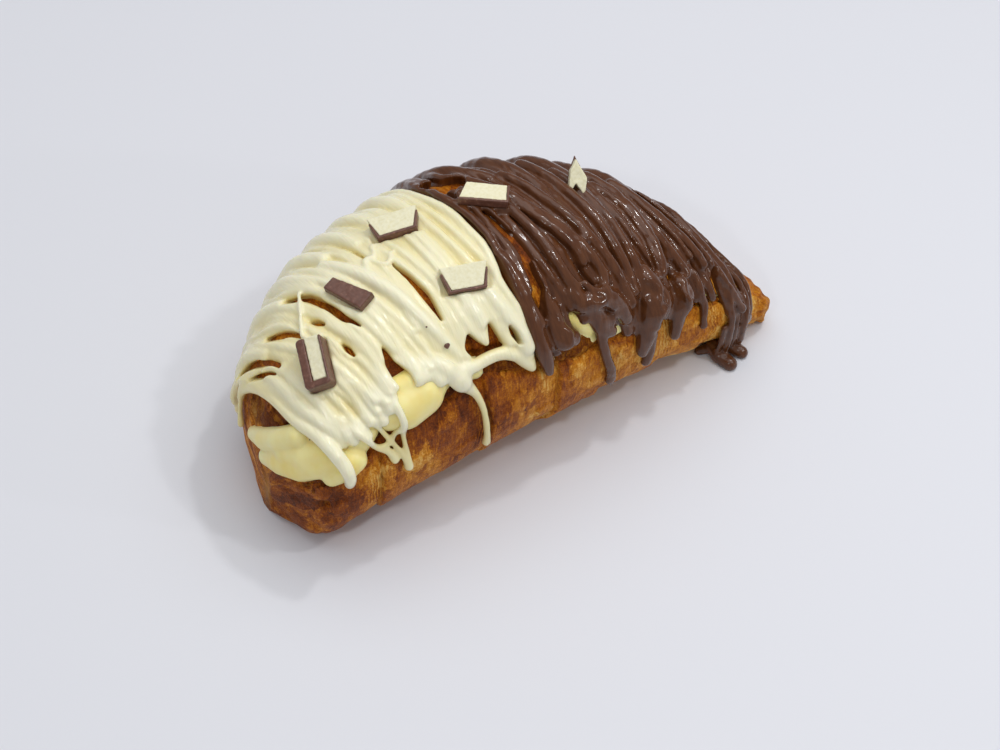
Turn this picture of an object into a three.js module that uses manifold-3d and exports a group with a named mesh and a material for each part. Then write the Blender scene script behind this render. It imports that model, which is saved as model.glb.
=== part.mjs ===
// A cream-filled croissant under white and milk chocolate, with slices of filled chocolate bar.
//
// Millimetres, +Z up. +X points to the thin tip, -X to the blunt end where the cream swells out,
// and -Y is the near side, along which the croissant is cut open. It rests on Z = 0, and the
// origin is a point on the flat base.
//
// A place on the croissant is given by x along its length and by an angle in degrees round it:
// 0 is the crown, 90 the widest line of the near side, -90 that of the far side, 180 the base.

import * as THREE from 'three';
import { mergeVertices } from 'three/addons/utils/BufferGeometryUtils.js';
import Module from 'manifold-3d';

const wasm = await Module();
wasm.setup();

// ---------------------------------------------------------------- driving dimensions

// Stations along the croissant: x, sideways shift of the middle, half width, height.
const STATIONS = [
  [-97, -5.5, 4, 22], [-96, -5, 10, 30], [-91, -5, 26, 46], [-80, -1.5, 33.5, 57.5], [-62, 3.8, 39.5, 67],
  [-38, 7.5, 43, 73], [-10, 8, 43.5, 76], [16, 6.7, 41, 71], [40, 3.5, 35.5, 60],
  [60, -3, 28.5, 47], [76, -11.5, 18.5, 30], [84, -17, 10, 20], [89.5, -21, 6, 13],
  [91.5, -22.5, 2.5, 8],
];
const SHIFT = 1;
const HALF_WIDTH = 2;
const HEIGHT = 3;
const WIDEST_SHARE = 0.42; // the widest line lies at this share of the height
const SIDE_POWER = 0.92; // under 1 makes the sides fuller than an ellipse
const BASE_REACH = 1.06; // over 1 cuts the round belly off to a flat base
const BASE_POWER = 0.9;

// Edges of the rolled bands: x on the crown, and how far the edge wanders to +X at the near side.
const BAND_EDGES = [
  [-97, 0], [-63.5, -8], [-32, 1], [-14.6, 9.6], [3, 12], [27, 11], [48, 10], [67, 8], [91.5, 0],
];
const BAND_SHARES = [0, 0.07, 0.35, 0.9]; // rings within one band
const STEP_DEPTH = 1.7; // a band stands this far over the next one out
const STEP_RUN = 1.2; // the upper band rounds off within this length
const TUCK_RUN = 7; // the lower band rises again over this length
const STEP_HEIGHTS = [1, 9]; // steps fade out between these heights, so that the base stays flat
const MIDDLE_X = -10; // the widest band: steps on either side face away from it
const RING_ANGLE = 15; // degrees between two points of a ring

// The cut: x, angle of the lower lip, angle of the lid's edge, y of the cut's inner edge.
const MOUTH = [
  [-91.6, 58, 8, 20], [-84, 63, 32, 18], [-76, 62, 40, 12], [-66, 57, 42, 8], [-56, 63, 42, 4],
  [-45, 62, 46, 2], [-34, 60, 49, 2], [-22, 66, 52, 2], [-4, 74, 57, 2], [12, 72, 60, 2],
  [33, 72, 56, 0], [50, 66, 55, -2], [68, 61, 58, -8],
];
const END_CUT = { x: -92.3, z: 29, far: 40, top: 80 }; // the blunt end is open above this height
const INNER_HEIGHT = 3; // height of the cut at its inner edge
const CUT_OVERSHOOT = 0.4; // the cutting wedge passes the skin by this share of its depth
const GAP = 0.3; // clearance between neighbouring pieces
const CUT_GAP = 0.36; // the same on the slanting faces of the cut
const LIP_TRIM = 1.2; // an inset wedge loses this many times its inset at each lip
const CREAM_RECESS = 1; // between its lobes the cream stays this far inside the skin
const LOBE_SIDES = 10;
const LOBE_RINGS = 6;

// Lobes of piped cream: x, angle, half length, half height, how far it swells out, and its sink.
const LOBES = [
  [-94.5, -6, 9, 9, 3, 3], [-92, 34, 12, 10, 3.5, 4], [-81, 51, 11, 8.5, 4, 2.5],
  [-66, 49, 9, 7.5, 3.5, 2], [-53.5, 53, 12.5, 8.5, 5.5, 2.5], [-38, 56, 9, 5, 2, 1.5],
  [7, 62, 8, 6, 2.5, 1.5], [39, 60, 8, 5, 2, 1.5],
];

// Chocolate strands: they run over the crown from the far side to the near side.
const STRAND_ROOT = -1.2; // strands reach this far into the crust, which then cuts them back
const WHITE = { first: -92, last: -18.4, count: 14, width: 7.8, thick: 2.9 };
const MILK = { first: -10.2, last: 79.5, count: 17, width: 8, thick: 4.2 };
const STRAND_BACK = 0.76; // a strand's back is this share of its width
const STRAND_ENDS = [0.45, 0.9]; // the share of its width at either end, and one point further in
const STRAND_STEP = 20; // degrees between two points of a strand
const SEAM = -14.3; // the two coats meet at this x
const FOOT_SCATTER = 4; // degrees by which the strands' feet differ
const FAR_ANGLE = 78; // on the far side the strands end past this angle
const FAR_SCATTER = 20;
const BOW = 2.2; // sideways wander of a strand

// Where the strands end on the near side: x, angle.
const WHITE_FEET = [
  [-94, 8], [-88, 26], [-84, 38], [-80, 44], [-74, 46], [-66, 43], [-60, 40], [-50, 43],
  [-44, 50], [-36, 52], [-30, 46], [-25, 45], [-20, 58], [-14, 62],
];
const MILK_FEET = [
  [-12, 72], [-7, 66], [0, 66], [3, 63], [6, 52], [9, 54], [12, 62], [18, 66], [24, 72],
  [30, 80], [36, 72], [42, 78], [48, 66], [54, 60], [62, 58], [64, 96], [75, 96], [79, 84],
];

// Single drips and strings: points as x, angle, then width and thickness.
const WHITE_DRIPS = [
  { path: [[-81, 0], [-84.5, 36], [-83.5, 54], [-83, 69]], width: 6, thick: 3 },
  { path: [[-74, 36], [-71, 49], [-67.5, 66], [-66, 74]], width: 3, thick: 2 },
  { path: [[-66, 34], [-64, 50], [-63.7, 66], [-63.4, 80]], width: 3.6, thick: 2.2 },
  { path: [[-43, 36], [-39, 50], [-36.5, 64], [-34, 79], [-33.3, 97]], width: 3.8, thick: 2.4 },
  { path: [[-42, 48], [-34, 54], [-26, 57], [-19, 61], [-15.8, 67]], width: 6, thick: 3 },
];
const MILK_DRIPS = [
  { path: [[-12, 40], [-11, 60], [-9.8, 74]], width: 5.5, thick: 3 },
  { path: [[0, 50], [1.5, 60], [3, 68]], width: 7, thick: 3 },
  { path: [[10, 50], [11, 72], [12.7, 94]], width: 3.6, thick: 2.4 },
  { path: [[28, 60], [29.5, 78], [31, 90]], width: 7, thick: 3.2 },
  { path: [[42, 56], [43.5, 70], [44, 81]], width: 5, thick: 2.6 },
  { path: [[52, 50], [53.5, 62], [54.3, 76]], width: 3.2, thick: 2.2 },
];

// Past this angle a strand leaves the belly and falls straight down.
const FALL_ANGLE = 88;
const FALL_END = 0.5; // height at which a falling strand ends, inside the puddle
// Fingers of milk chocolate run out where it lands: points as x, y.
const POOL_FINGERS = [
  { path: [[66.5, -24], [67.5, -30], [68.5, -36.5]], width: 6.5, thick: 3 },
  { path: [[70.5, -23], [72.5, -28], [75, -34.5]], width: 6.5, thick: 3 },
  { path: [[71, -27], [66, -27], [60.5, -25.5]], width: 4.5, thick: 2.2 },
];

// Slots where strands part and the crust shows: x, middle angle, half length in degrees, half width.
const SLOTS = [
  [-86, -27, 20, 1.5], [-78.5, -20, 13, 1.2], [-66, -10, 22, 1.4], [-67.5, 15, 6, 0.8],
  [-40, 17, 14, 1.7], [-58, 34, 9, 2.6], [-30, 45, 7, 2.4], [-18.8, 50, 7, 1],
  [-11.5, -28, 9, 2], [-6.6, 22, 24, 1.6], [61, 35, 12, 1.2], [16, -14, 6, 0.8],
];
const PARTING_REACH = 5; // strands further than this from a slot hardly bend
const PARTING_TAPER = 1.25; // strands part over this many times the slot's length

// Slices of filled chocolate bar: place and turn on the croissant, and the slice's own size.
const SHELL = 1.3; // thickness of the bar's chocolate
const END_WALL = 2.1; // the bar's own end and back walls are thicker
const FILLING_DROP = 0.4; // the filling has shrunk below the chocolate's rim
const BAR_SLOPE = 0.12; // each side of a bar leans in by this share of its width
const BED_ROOM = 0.5; // the bed in the coat is this much wider than the slice all round
const BARS = {
  slice_left: { x: -33.5, angle: -13, lift: 3.6, heading: -22, tilt: 12, long: 17, deep: 8, thick: 3 },
  slice_mid: { x: -26.5, angle: 21, lift: 3.6, heading: -16, tilt: 8, long: 16, deep: 8, thick: 3 },
  slice_top: { x: -6, angle: -5, lift: 5.4, heading: -28, tilt: 6, long: 16.5, deep: 8, thick: 3 },
};
const CHUNK = { x: -76.5, angle: 9, lift: 4.6, heading: 70, tilt: 0, long: 16.5, deep: 8.5, thick: 6 };
const CHIP = { x: -58.6, angle: -1, lift: 4, heading: -64, tilt: 0, long: 16, deep: 6.6, thick: 3 };
const CHIP_LEAN = 2; // its two ends slant by this much
const SPIRE = { x: 27.5, angle: -6, lift: 6.4, heading: -32, tilt: 64, wide: 7.2, tall: 10.4, thick: 2.4 };
// The spire's outlines, as shares of its width and height: a notched foot, shoulders and a tip.
const SPIRE_FRONT = [[-0.5, -0.5], [-0.12, -0.2], [0.5, -0.5], [0.42, 0.08], [-0.04, 0.5], [-0.5, 0.2]];
const SPIRE_BACK = [[-0.5, -0.5], [0.5, -0.5], [0.44, 0.1], [0, 0.58], [-0.5, 0.22]];
const SPIRE_BED = 1.2; // the bed's height, as a share of the spire's

// Colours
const COLOURS = {
  crust: 0xb8742f, cream: 0xefdc8c, white: 0xe8dfb4, milk: 0x54301f, shell: 0x50302a, filling: 0xeae4c8,
};

// ---------------------------------------------------------------- the skin of the croissant

const radians = THREE.MathUtils.degToRad;

// A smooth curve through one column of a table whose first column is x.
function along(table, column, x) {
  const last = table.length - 1;
  const at = THREE.MathUtils.clamp(x, table[0][0], table[last][0]);
  let i = 0;
  while (i < last - 1 && at > table[i + 1][0]) i += 1;
  const slope = (k) => {
    const a = Math.max(k - 1, 0);
    const b = Math.min(k + 1, last);
    return (table[b][column] - table[a][column]) / (table[b][0] - table[a][0]);
  };
  const run = table[i + 1][0] - table[i][0];
  const t = (at - table[i][0]) / run;
  const rise = table[i + 1][column] - table[i][column];
  const start = slope(i) * run;
  const end = slope(i + 1) * run;
  return table[i][column] + t * start + t * t * (3 * rise - 2 * start - end)
    + t * t * t * (start + end - 2 * rise);
}

// Straight runs between the rows of a two-column table.
function between(table, x) {
  const last = table.length - 1;
  if (x <= table[0][0]) return table[0][1];
  for (let i = 0; i < last; i += 1) {
    const [x0, y0] = table[i];
    const [x1, y1] = table[i + 1];
    if (x <= x1) return y0 + (y1 - y0) * (x - x0) / (x1 - x0);
  }
  return table[last][1];
}

// A point of the smooth skin, without the steps between the rolled bands.
function bare(x, angle) {
  const side = Math.sin(radians(angle));
  const up = Math.cos(radians(angle));
  const height = along(STATIONS, HEIGHT, x);
  const widest = WIDEST_SHARE * height;
  const reach = Math.sign(side) * Math.abs(side) ** SIDE_POWER;
  const y = along(STATIONS, SHIFT, x) - along(STATIONS, HALF_WIDTH, x) * reach;
  const z = up >= 0
    ? widest + (height - widest) * up
    : widest * (1 - BASE_REACH * Math.abs(up) ** BASE_POWER);
  return new THREE.Vector3(x, y, Math.max(z, 0));
}

// Outward direction of the skin.
function outward(x, angle) {
  const turn = 0.5;
  const round = bare(x, angle + turn).sub(bare(x, angle - turn));
  const lengthwise = bare(x + turn, angle).sub(bare(x - turn, angle));
  return round.cross(lengthwise).normalize();
}

function skin(x, angle, lift = 0) {
  return bare(x, angle).addScaledVector(outward(x, angle), lift);
}

// ---------------------------------------------------------------- closed meshes

// A closed body through rings of equal length, each end closed by a fan.
function loft(rings) {
  const n = rings[0].length;
  const points = rings.flat();
  const faces = [];
  for (let i = 0; i < rings.length - 1; i += 1) {
    for (let j = 0; j < n; j += 1) {
      const a = i * n + j;
      const b = i * n + (j + 1) % n;
      faces.push(a, b, b + n, a, b + n, a + n);
    }
  }
  for (const [ring, start, flip] of [[rings[0], 0, true], [rings.at(-1), (rings.length - 1) * n, false]]) {
    const middle = ring.reduce((sum, p) => sum.add(p), new THREE.Vector3()).divideScalar(n);
    points.push(middle);
    for (let j = 0; j < n; j += 1) {
      const a = start + j;
      const b = start + (j + 1) % n;
      faces.push(...(flip ? [b, a, points.length - 1] : [a, b, points.length - 1]));
    }
  }
  return solid(new THREE.BufferGeometry().setFromPoints(points).setIndex(faces));
}

// A solid body from a closed geometry, with its faces turned outward and without slivers.
function solid(geometry) {
  const closeness = 1e-4;
  geometry.deleteAttribute('normal');
  geometry.deleteAttribute('uv');
  const merged = mergeVertices(geometry, closeness);
  const position = merged.attributes.position;
  const index = merged.index.array;
  const corner = (k) => new THREE.Vector3().fromBufferAttribute(position, index[k]);
  let volume = 0;
  const faces = [];
  for (let k = 0; k < index.length; k += 3) {
    if (index[k] === index[k + 1] || index[k + 1] === index[k + 2] || index[k] === index[k + 2]) continue;
    faces.push(index[k], index[k + 1], index[k + 2]);
    volume += corner(k).dot(corner(k + 1).cross(corner(k + 2)));
  }
  if (volume < 0) faces.reverse();
  return new wasm.Manifold(new wasm.Mesh({
    numProp: 3,
    vertProperties: Float32Array.from(position.array),
    triVerts: Uint32Array.from(faces),
  }));
}

function geometryOf(body) {
  const mesh = body.getMesh();
  const geometry = new THREE.BufferGeometry();
  geometry.setAttribute('position', new THREE.BufferAttribute(mesh.vertProperties, 3));
  geometry.setIndex(new THREE.BufferAttribute(mesh.triVerts, 1));
  return geometry;
}

// The largest connected piece: loose scraps left by a cut are dropped.
function largest(body) {
  return body.decompose().sort((a, b) => b.volume() - a.volume())[0];
}

// ---------------------------------------------------------------- the crust

// The step down from each rolled band to the next one out.
function bandStep(x, angle) {
  let depth = 0;
  for (const [crownX, wander] of BAND_EDGES.slice(1, -1)) {
    const edge = crownX + wander * Math.sin(radians(angle));
    const out = edge > MIDDLE_X ? x - edge : edge - x;
    depth += STEP_DEPTH * Math.exp(-(out >= 0 ? out / TUCK_RUN : -out / STEP_RUN));
  }
  const aboveBase = THREE.MathUtils.smoothstep(bare(x, angle).z, ...STEP_HEIGHTS);
  return depth * aboveBase;
}

// The whole loaf, grown or shrunk by a lift. Its rings follow the band edges.
function loaf(lift) {
  const rings = [];
  const bands = BAND_EDGES.length - 1;
  for (let band = 0; band < bands; band += 1) {
    const shares = band === bands - 1 ? [...BAND_SHARES, 1] : BAND_SHARES;
    for (const share of shares) {
      const ring = [];
      for (let angle = -180; angle < 180; angle += RING_ANGLE) {
        const wander = Math.sin(radians(angle));
        const from = BAND_EDGES[band][0] + BAND_EDGES[band][1] * wander;
        const to = BAND_EDGES[band + 1][0] + BAND_EDGES[band + 1][1] * wander;
        const x = from + (to - from) * share;
        ring.push(skin(x, angle, lift - bandStep(x, angle)));
      }
      rings.push(ring);
    }
  }
  return loft(rings);
}

// The wedge between the lower half and the lid, made smaller by an inset.
function wedge(inset) {
  const section = (x, inner, low, high) => {
    const past = (lip) => lip.clone().add(lip.clone().sub(inner).multiplyScalar(CUT_OVERSHOOT));
    const half = new THREE.Vector3(0, 0, INNER_HEIGHT / 2 - inset);
    const trim = new THREE.Vector3(0, 0, inset * LIP_TRIM);
    const tuck = new THREE.Vector3(0, -inset, 0);
    return [
      inner.clone().sub(half).add(tuck), past(low).add(trim),
      past(high).sub(trim), inner.clone().add(half).add(tuck),
    ].map((p) => p.setX(x));
  };
  const { x: endX, z: endZ, far, top } = END_CUT;
  const clearOfEnd = 10;
  const endX0 = STATIONS[0][0] - clearOfEnd;
  const openEnd = (x) => [
    new THREE.Vector3(x, far, endZ + inset), new THREE.Vector3(x, -far, endZ + inset),
    new THREE.Vector3(x, -far, top), new THREE.Vector3(x, far, top),
  ];
  const rings = [openEnd(endX0), openEnd(endX - inset)];
  for (const [x, lowAngle, highAngle, innerY] of MOUTH) {
    const low = bare(x, lowAngle);
    const high = bare(x, highAngle);
    const inner = new THREE.Vector3(x, innerY, (low.z + high.z) / 2 - INNER_HEIGHT / 2);
    rings.push(section(x, inner, low, high));
  }
  return loft(rings);
}

// ---------------------------------------------------------------- the cream

// Place, size and directions of a lobe: along the croissant, round it, and outward.
function lobeFrame([x, angle, halfLong, halfHigh, swell, sink]) {
  const out = outward(x, angle);
  const round = bare(x, angle + 1).sub(bare(x, angle - 1)).normalize();
  const long = round.clone().cross(out).normalize();
  const centre = skin(x, angle, -sink);
  return { centre, long, round, out, size: new THREE.Vector3(halfLong, halfHigh, swell + sink) };
}

const lobeFrames = LOBES.map(lobeFrame);

function lobe({ centre, long, round, out, size }, grow) {
  const ball = new THREE.SphereGeometry(1, LOBE_SIDES, LOBE_RINGS);
  ball.scale(size.x + grow, size.y + grow, size.z + grow);
  ball.applyMatrix4(new THREE.Matrix4().makeBasis(long, round, out).setPosition(centre));
  return solid(ball);
}

// All the cream, grown by a margin: what fills the cut, and the lobes that swell out of it.
function cream(grow) {
  const inside = wedge(CUT_GAP - grow).intersect(loaf(grow - CREAM_RECESS));
  return lobeFrames.reduce((body, frame) => body.add(lobe(frame, grow)), inside);
}

// How far the cream stands out of the skin at a point, so that strands drape over it.
function swellAt(point) {
  let swell = 0;
  for (const { centre, long, round, out, size } of lobeFrames) {
    const off = point.clone().sub(centre);
    const share = (off.dot(long) / size.x) ** 2 + (off.dot(round) / size.y) ** 2;
    const depth = off.dot(out);
    if (share < 1 && depth > -size.z) {
      swell = Math.max(swell, size.z * Math.sqrt(1 - share) - depth);
    }
  }
  return swell;
}

// ---------------------------------------------------------------- the chocolate coats

// A repeatable number from 0 to 1 for a strand.
function chance(i, salt) {
  const value = Math.sin(i * 127.1 + salt * 311.7) * 43758.5453;
  return value - Math.floor(value);
}

// Strands bend away from every slot.
function parted(x, angle) {
  let moved = x;
  for (const [slotX, middle, halfLong, halfWide] of SLOTS) {
    const lengthwise = Math.max(0, 1 - ((angle - middle) / (halfLong * PARTING_TAPER)) ** 2);
    const near = Math.exp(-(((x - slotX) / PARTING_REACH) ** 2));
    moved += Math.sign(x - slotX) * halfWide * lengthwise * near;
  }
  return moved;
}

// A ribbon with a narrower back along points that each have an outward direction.
function ribbon(stops, width, thick, root) {
  const rings = stops.map(({ point, out }, i) => {
    const before = stops[Math.max(i - 1, 0)].point;
    const after = stops[Math.min(i + 1, stops.length - 1)].point;
    const across = after.clone().sub(before).cross(out).normalize();
    const fromEnd = Math.min(i, stops.length - 1 - i);
    const scale = STRAND_ENDS[fromEnd] ?? 1;
    const section = [[-1, root], [-STRAND_BACK, thick], [STRAND_BACK, thick], [1, root]];
    return section.map(([side, lift]) => point.clone()
      .addScaledVector(across, side * width * scale / 2)
      .addScaledVector(out, lift > 0 ? lift * scale : lift));
  });
  return loft(rings);
}

// Stops of a path over the croissant, a step apart where it runs round, kept clear of the seam.
function stopsOver(path, width) {
  const spots = [];
  for (let i = 0; i < path.length - 1; i += 1) {
    const [x0, angle0] = path[i];
    const [x1, angle1] = path[i + 1];
    const parts = Math.max(1, Math.round(Math.abs(angle1 - angle0) / STRAND_STEP));
    for (let k = 0; k < parts; k += 1) {
      spots.push([x0 + (x1 - x0) * k / parts, angle0 + (angle1 - angle0) * k / parts]);
    }
  }
  spots.push(path.at(-1));
  const clear = (width + GAP) / 2;
  const isWhite = path[0][0] < SEAM;
  return spots.map(([x, angle]) => {
    const free = parted(x, angle);
    const at = isWhite ? Math.min(free, SEAM - clear) : Math.max(free, SEAM + clear);
    const point = bare(at, angle);
    const out = outward(at, angle);
    return { point: point.addScaledVector(out, swellAt(point)), out };
  });
}

// Evenly spaced places along the crown, measured over its curve.
function alongCrown({ first, last, count }) {
  const fine = 200; // short straight runs that stand for the curve
  const xs = Array.from({ length: fine + 1 }, (_, i) => first + (last - first) * i / fine);
  const crown = new THREE.CurvePath();
  for (let i = 0; i < fine; i += 1) crown.add(new THREE.LineCurve3(bare(xs[i], 0), bare(xs[i + 1], 0)));
  return Array.from({ length: count }, (_, k) => crown.getPointAt(k / (count - 1)).x);
}

// A long strand over the crown. One whose foot lies past the belly falls to the surface below.
function strand(rule, feet, x, k) {
  const foot = between(feet, x) + FOOT_SCATTER * (chance(k, 1) - 0.5);
  const top = -FAR_ANGLE - FAR_SCATTER * chance(k, 2);
  const bow = BOW * (chance(k, 3) - 0.5);
  const stops = stopsOver([[x + bow, top], [x - bow, 0], [x, Math.min(foot, FALL_ANGLE)]], rule.width);
  if (foot > FALL_ANGLE) {
    const { point, out } = stops.at(-1);
    stops.push({ point: point.clone().setZ(point.z / 2), out }, { point: point.clone().setZ(FALL_END), out });
  }
  return ribbon(stops, rule.width, rule.thick, STRAND_ROOT);
}

function pool({ path, width, thick }) {
  const out = new THREE.Vector3(0, 0, 1);
  return ribbon(path.map(([x, y]) => ({ point: new THREE.Vector3(x, y, 0), out })), width, thick, 0);
}

function coat(rule, feet, drips) {
  const strands = alongCrown(rule).map((x, k) => strand(rule, feet, x, k));
  const extra = drips.map(({ path, width, thick }) => {
    const stops = stopsOver(path, width);
    return ribbon(stops, width, thick, STRAND_ROOT);
  });
  return wasm.Manifold.union([...strands, ...extra]);
}

// ---------------------------------------------------------------- slices of chocolate bar

// A flat outline pushed through a thickness, centred on its own plane.
function plate(outline, thick) {
  const shape = new THREE.Shape(outline.map(([u, v]) => new THREE.Vector2(u, v)));
  const geometry = new THREE.ExtrudeGeometry(shape, { depth: thick, bevelEnabled: false });
  return geometry.translate(0, 0, -thick / 2);
}

// Puts a slice on the coat: u runs along the croissant, v up towards the crown, w outward.
function placed(geometry, { x, angle, lift, heading, tilt }) {
  const out = outward(x, angle);
  const up = bare(x, angle - 1).sub(bare(x, angle + 1)).normalize();
  const lengthwise = up.clone().cross(out).normalize();
  const stance = new THREE.Matrix4().makeBasis(lengthwise, up, out).setPosition(skin(x, angle, lift));
  const turn = new THREE.Matrix4().makeRotationZ(radians(heading));
  const lean = new THREE.Matrix4().makeRotationX(radians(tilt));
  return geometry.applyMatrix4(stance.multiply(turn).multiply(lean));
}

// A slice presses a bed into the chocolate under it, a little larger than the slice.
function bedOf(bar, long, deep, thick) {
  const room = 2 * BED_ROOM;
  return placed(new THREE.BoxGeometry(long + room, deep + room, thick + room), bar);
}

// The bar's outline where it is cut across: wide at the foot, narrower at the open top.
function barOutline(long, deep, inset) {
  const half = long / 2;
  const slope = BAR_SLOPE * long;
  return {
    foot: [[-half + slope + inset, -deep / 2 + inset], [half - slope - inset, -deep / 2 + inset]],
    top: [[half - inset, deep / 2], [-half + inset, deep / 2]],
  };
}

// A slice cut across the bar: a trough of chocolate round the milk filling.
function troughSlice(bar) {
  const outer = barOutline(bar.long, bar.deep, 0);
  const inner = barOutline(bar.long, bar.deep, SHELL);
  const core = barOutline(bar.long, bar.deep, SHELL + GAP);
  const trough = [...outer.foot, ...outer.top.slice(0, 1), inner.top[0], inner.foot[1], inner.foot[0],
    inner.top[1], outer.top[1]];
  return {
    shell: placed(plate(trough, bar.thick), bar),
    filling: placed(plate([...core.foot, ...core.top], bar.thick), bar),
    bed: bedOf(bar, bar.long, bar.deep, bar.thick),
  };
}

// The end of a bar: chocolate on three sides and below, the filling open on top.
function endChunk(bar) {
  const half = bar.long / 2;
  const side = bar.deep / 2;
  const box = (u0, u1, v0, v1, w0, w1) => new THREE.BoxGeometry(u1 - u0, v1 - v0, w1 - w0)
    .translate((u0 + u1) / 2, (v0 + v1) / 2, (w0 + w1) / 2);
  const low = -bar.thick / 2;
  const high = bar.thick / 2;
  const past = 1;
  const hollow = box(-half + END_WALL, half + past, -side + SHELL, side - END_WALL, low + SHELL, high + past);
  const shell = solid(box(-half, half, -side, side, low, high)).subtract(solid(hollow));
  const filling = box(-half + END_WALL + GAP, half, -side + SHELL + GAP, side - END_WALL - GAP,
    low + SHELL + GAP, high - FILLING_DROP);
  return {
    shell: placed(geometryOf(shell), bar),
    filling: placed(filling, bar),
    bed: bedOf(bar, bar.long, bar.deep, bar.thick),
  };
}

// A flat leaning piece of the bar's chocolate alone.
function chip(bar) {
  const half = bar.long / 2;
  const side = bar.deep / 2;
  const outline = [[-half, -side], [half - CHIP_LEAN, -side], [half, side], [-half + CHIP_LEAN, side]];
  return { shell: placed(plate(outline, bar.thick), bar), bed: bedOf(bar, bar.long, bar.deep, bar.thick) };
}

// A wedge of filling that stands on its end, backed by a sheet of chocolate.
function spire(bar) {
  const { wide, tall, thick } = bar;
  const sized = (outline) => outline.map(([u, v]) => [u * wide, v * tall]);
  return {
    filling: placed(plate(sized(SPIRE_FRONT), thick).translate(0, 0, thick / 2 + GAP), bar),
    shell: placed(plate(sized(SPIRE_BACK), SHELL).translate(0, 0, -SHELL / 2), bar),
    bed: bedOf(bar, wide, tall * SPIRE_BED, 2 * (thick + GAP)),
  };
}

// ---------------------------------------------------------------- putting it together

const croissant = new THREE.Group();

function add(name, geometry, color, roughness) {
  const material = new THREE.MeshStandardMaterial({ color, roughness, metalness: 0 });
  const mesh = new THREE.Mesh(geometry, material);
  mesh.name = name;
  croissant.add(mesh);
}

const bars = {};
for (const [name, bar] of Object.entries(BARS)) bars[name] = troughSlice(bar);
bars.end_chunk = endChunk(CHUNK);
bars.spire = spire(SPIRE);
bars.chip = chip(CHIP);

const beds = Object.values(bars).map(({ bed }) => solid(bed));

const crust = largest(loaf(0).subtract(wedge(0)));
const crustWithGap = loaf(GAP).subtract(wedge(CUT_GAP));
const filling = largest(cream(0).subtract(crustWithGap));
const keepOut = wasm.Manifold.union([loaf(GAP), cream(GAP), ...beds]);
const white = largest(coat(WHITE, WHITE_FEET, WHITE_DRIPS).subtract(keepOut));
const milkStrands = coat(MILK, MILK_FEET, MILK_DRIPS).add(wasm.Manifold.union(POOL_FINGERS.map(pool)));
const milk = largest(milkStrands.subtract(keepOut));

add('croissant_crust', geometryOf(crust), COLOURS.crust, 0.55);
add('cream_filling', geometryOf(filling), COLOURS.cream, 0.4);
add('white_chocolate_coat', geometryOf(white), COLOURS.white, 0.35);
add('milk_chocolate_coat', geometryOf(milk), COLOURS.milk, 0.25);
for (const [name, { shell, filling: core }] of Object.entries(bars)) {
  add(`bar_${name}_shell`, shell, COLOURS.shell, 0.4);
  if (core) add(`bar_${name}_filling`, core, COLOURS.filling, 0.5);
}

export default croissant;
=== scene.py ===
# %% [markdown]
# # A cream-filled croissant under white and milk chocolate
#
# The solids come first, as a fixed frame: the crust, the cream in its cut, two chocolate coats and
# the slices of chocolate bar. This lesson dresses them. Each piece is made again at the real
# size, with the detail that the eye expects, and its solid is hidden. Lengths are in millimetres
# until a mesh is made, because a cook thinks of chocolate strands in millimetres.

# %% The fixed frame
import math

import bpy
import numpy as np
import openvdb
from mathutils import Matrix, Vector


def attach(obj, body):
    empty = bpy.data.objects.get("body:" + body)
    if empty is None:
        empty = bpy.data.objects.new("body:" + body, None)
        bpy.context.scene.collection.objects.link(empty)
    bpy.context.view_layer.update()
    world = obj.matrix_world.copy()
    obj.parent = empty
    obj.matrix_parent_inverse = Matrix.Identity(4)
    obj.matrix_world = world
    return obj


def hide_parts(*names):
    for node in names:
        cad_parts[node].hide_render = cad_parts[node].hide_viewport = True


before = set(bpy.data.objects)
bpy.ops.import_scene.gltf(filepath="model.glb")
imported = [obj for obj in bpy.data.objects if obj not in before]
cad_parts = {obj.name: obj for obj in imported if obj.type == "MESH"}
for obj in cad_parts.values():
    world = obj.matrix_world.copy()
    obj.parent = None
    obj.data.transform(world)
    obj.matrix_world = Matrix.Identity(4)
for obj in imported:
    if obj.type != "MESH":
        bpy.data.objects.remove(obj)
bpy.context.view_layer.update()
MM = 0.001
print("solids in the frame:", len(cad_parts))

# %% [markdown]
# ## The camera
#
# The photograph was taken from above the blunt end, with a long lens and the camera tipped a
# little to one side. The view is set by an elevation, an azimuth, a distance and that tilt.

# %% Camera
ELEVATION, AZIMUTH, TILT = (math.radians(a) for a in (50.52, -36.5, 4.34))
DISTANCE = 817.1
TARGET = Vector((-1.78, 1.92, 0))
LENS, SENSOR = 86.4, 36

backward = Vector((math.cos(ELEVATION) * math.sin(AZIMUTH),
                   -math.cos(ELEVATION) * math.cos(AZIMUTH), math.sin(ELEVATION)))
level_right = Vector((0, 0, 1)).cross(backward).normalized()
level_up = backward.cross(level_right)
right = math.cos(TILT) * level_right + math.sin(TILT) * level_up
up = -math.sin(TILT) * level_right + math.cos(TILT) * level_up

camera = bpy.data.objects.new("camera", bpy.data.cameras.new("camera"))
camera.data.lens = LENS
camera.data.sensor_width = SENSOR
camera.matrix_world = Matrix.Translation((TARGET + backward * DISTANCE) * MM) @ Matrix(
    (right, up, backward)).transposed().to_4x4()
bpy.context.scene.collection.objects.link(camera)
bpy.context.scene.camera = camera
print("camera stands at", [round(v, 3) for v in camera.matrix_world.translation])

# %% [markdown]
# ## Materials
#
# A colour is written as the sRGB hex value that a colour picker shows, and one function turns it
# to the linear light that the shader works in. One more function adds a node to a material,
# with its settings, its values, its links and the steps of its ramp, so that each material reads
# as a short list. The shader comes last.


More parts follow.
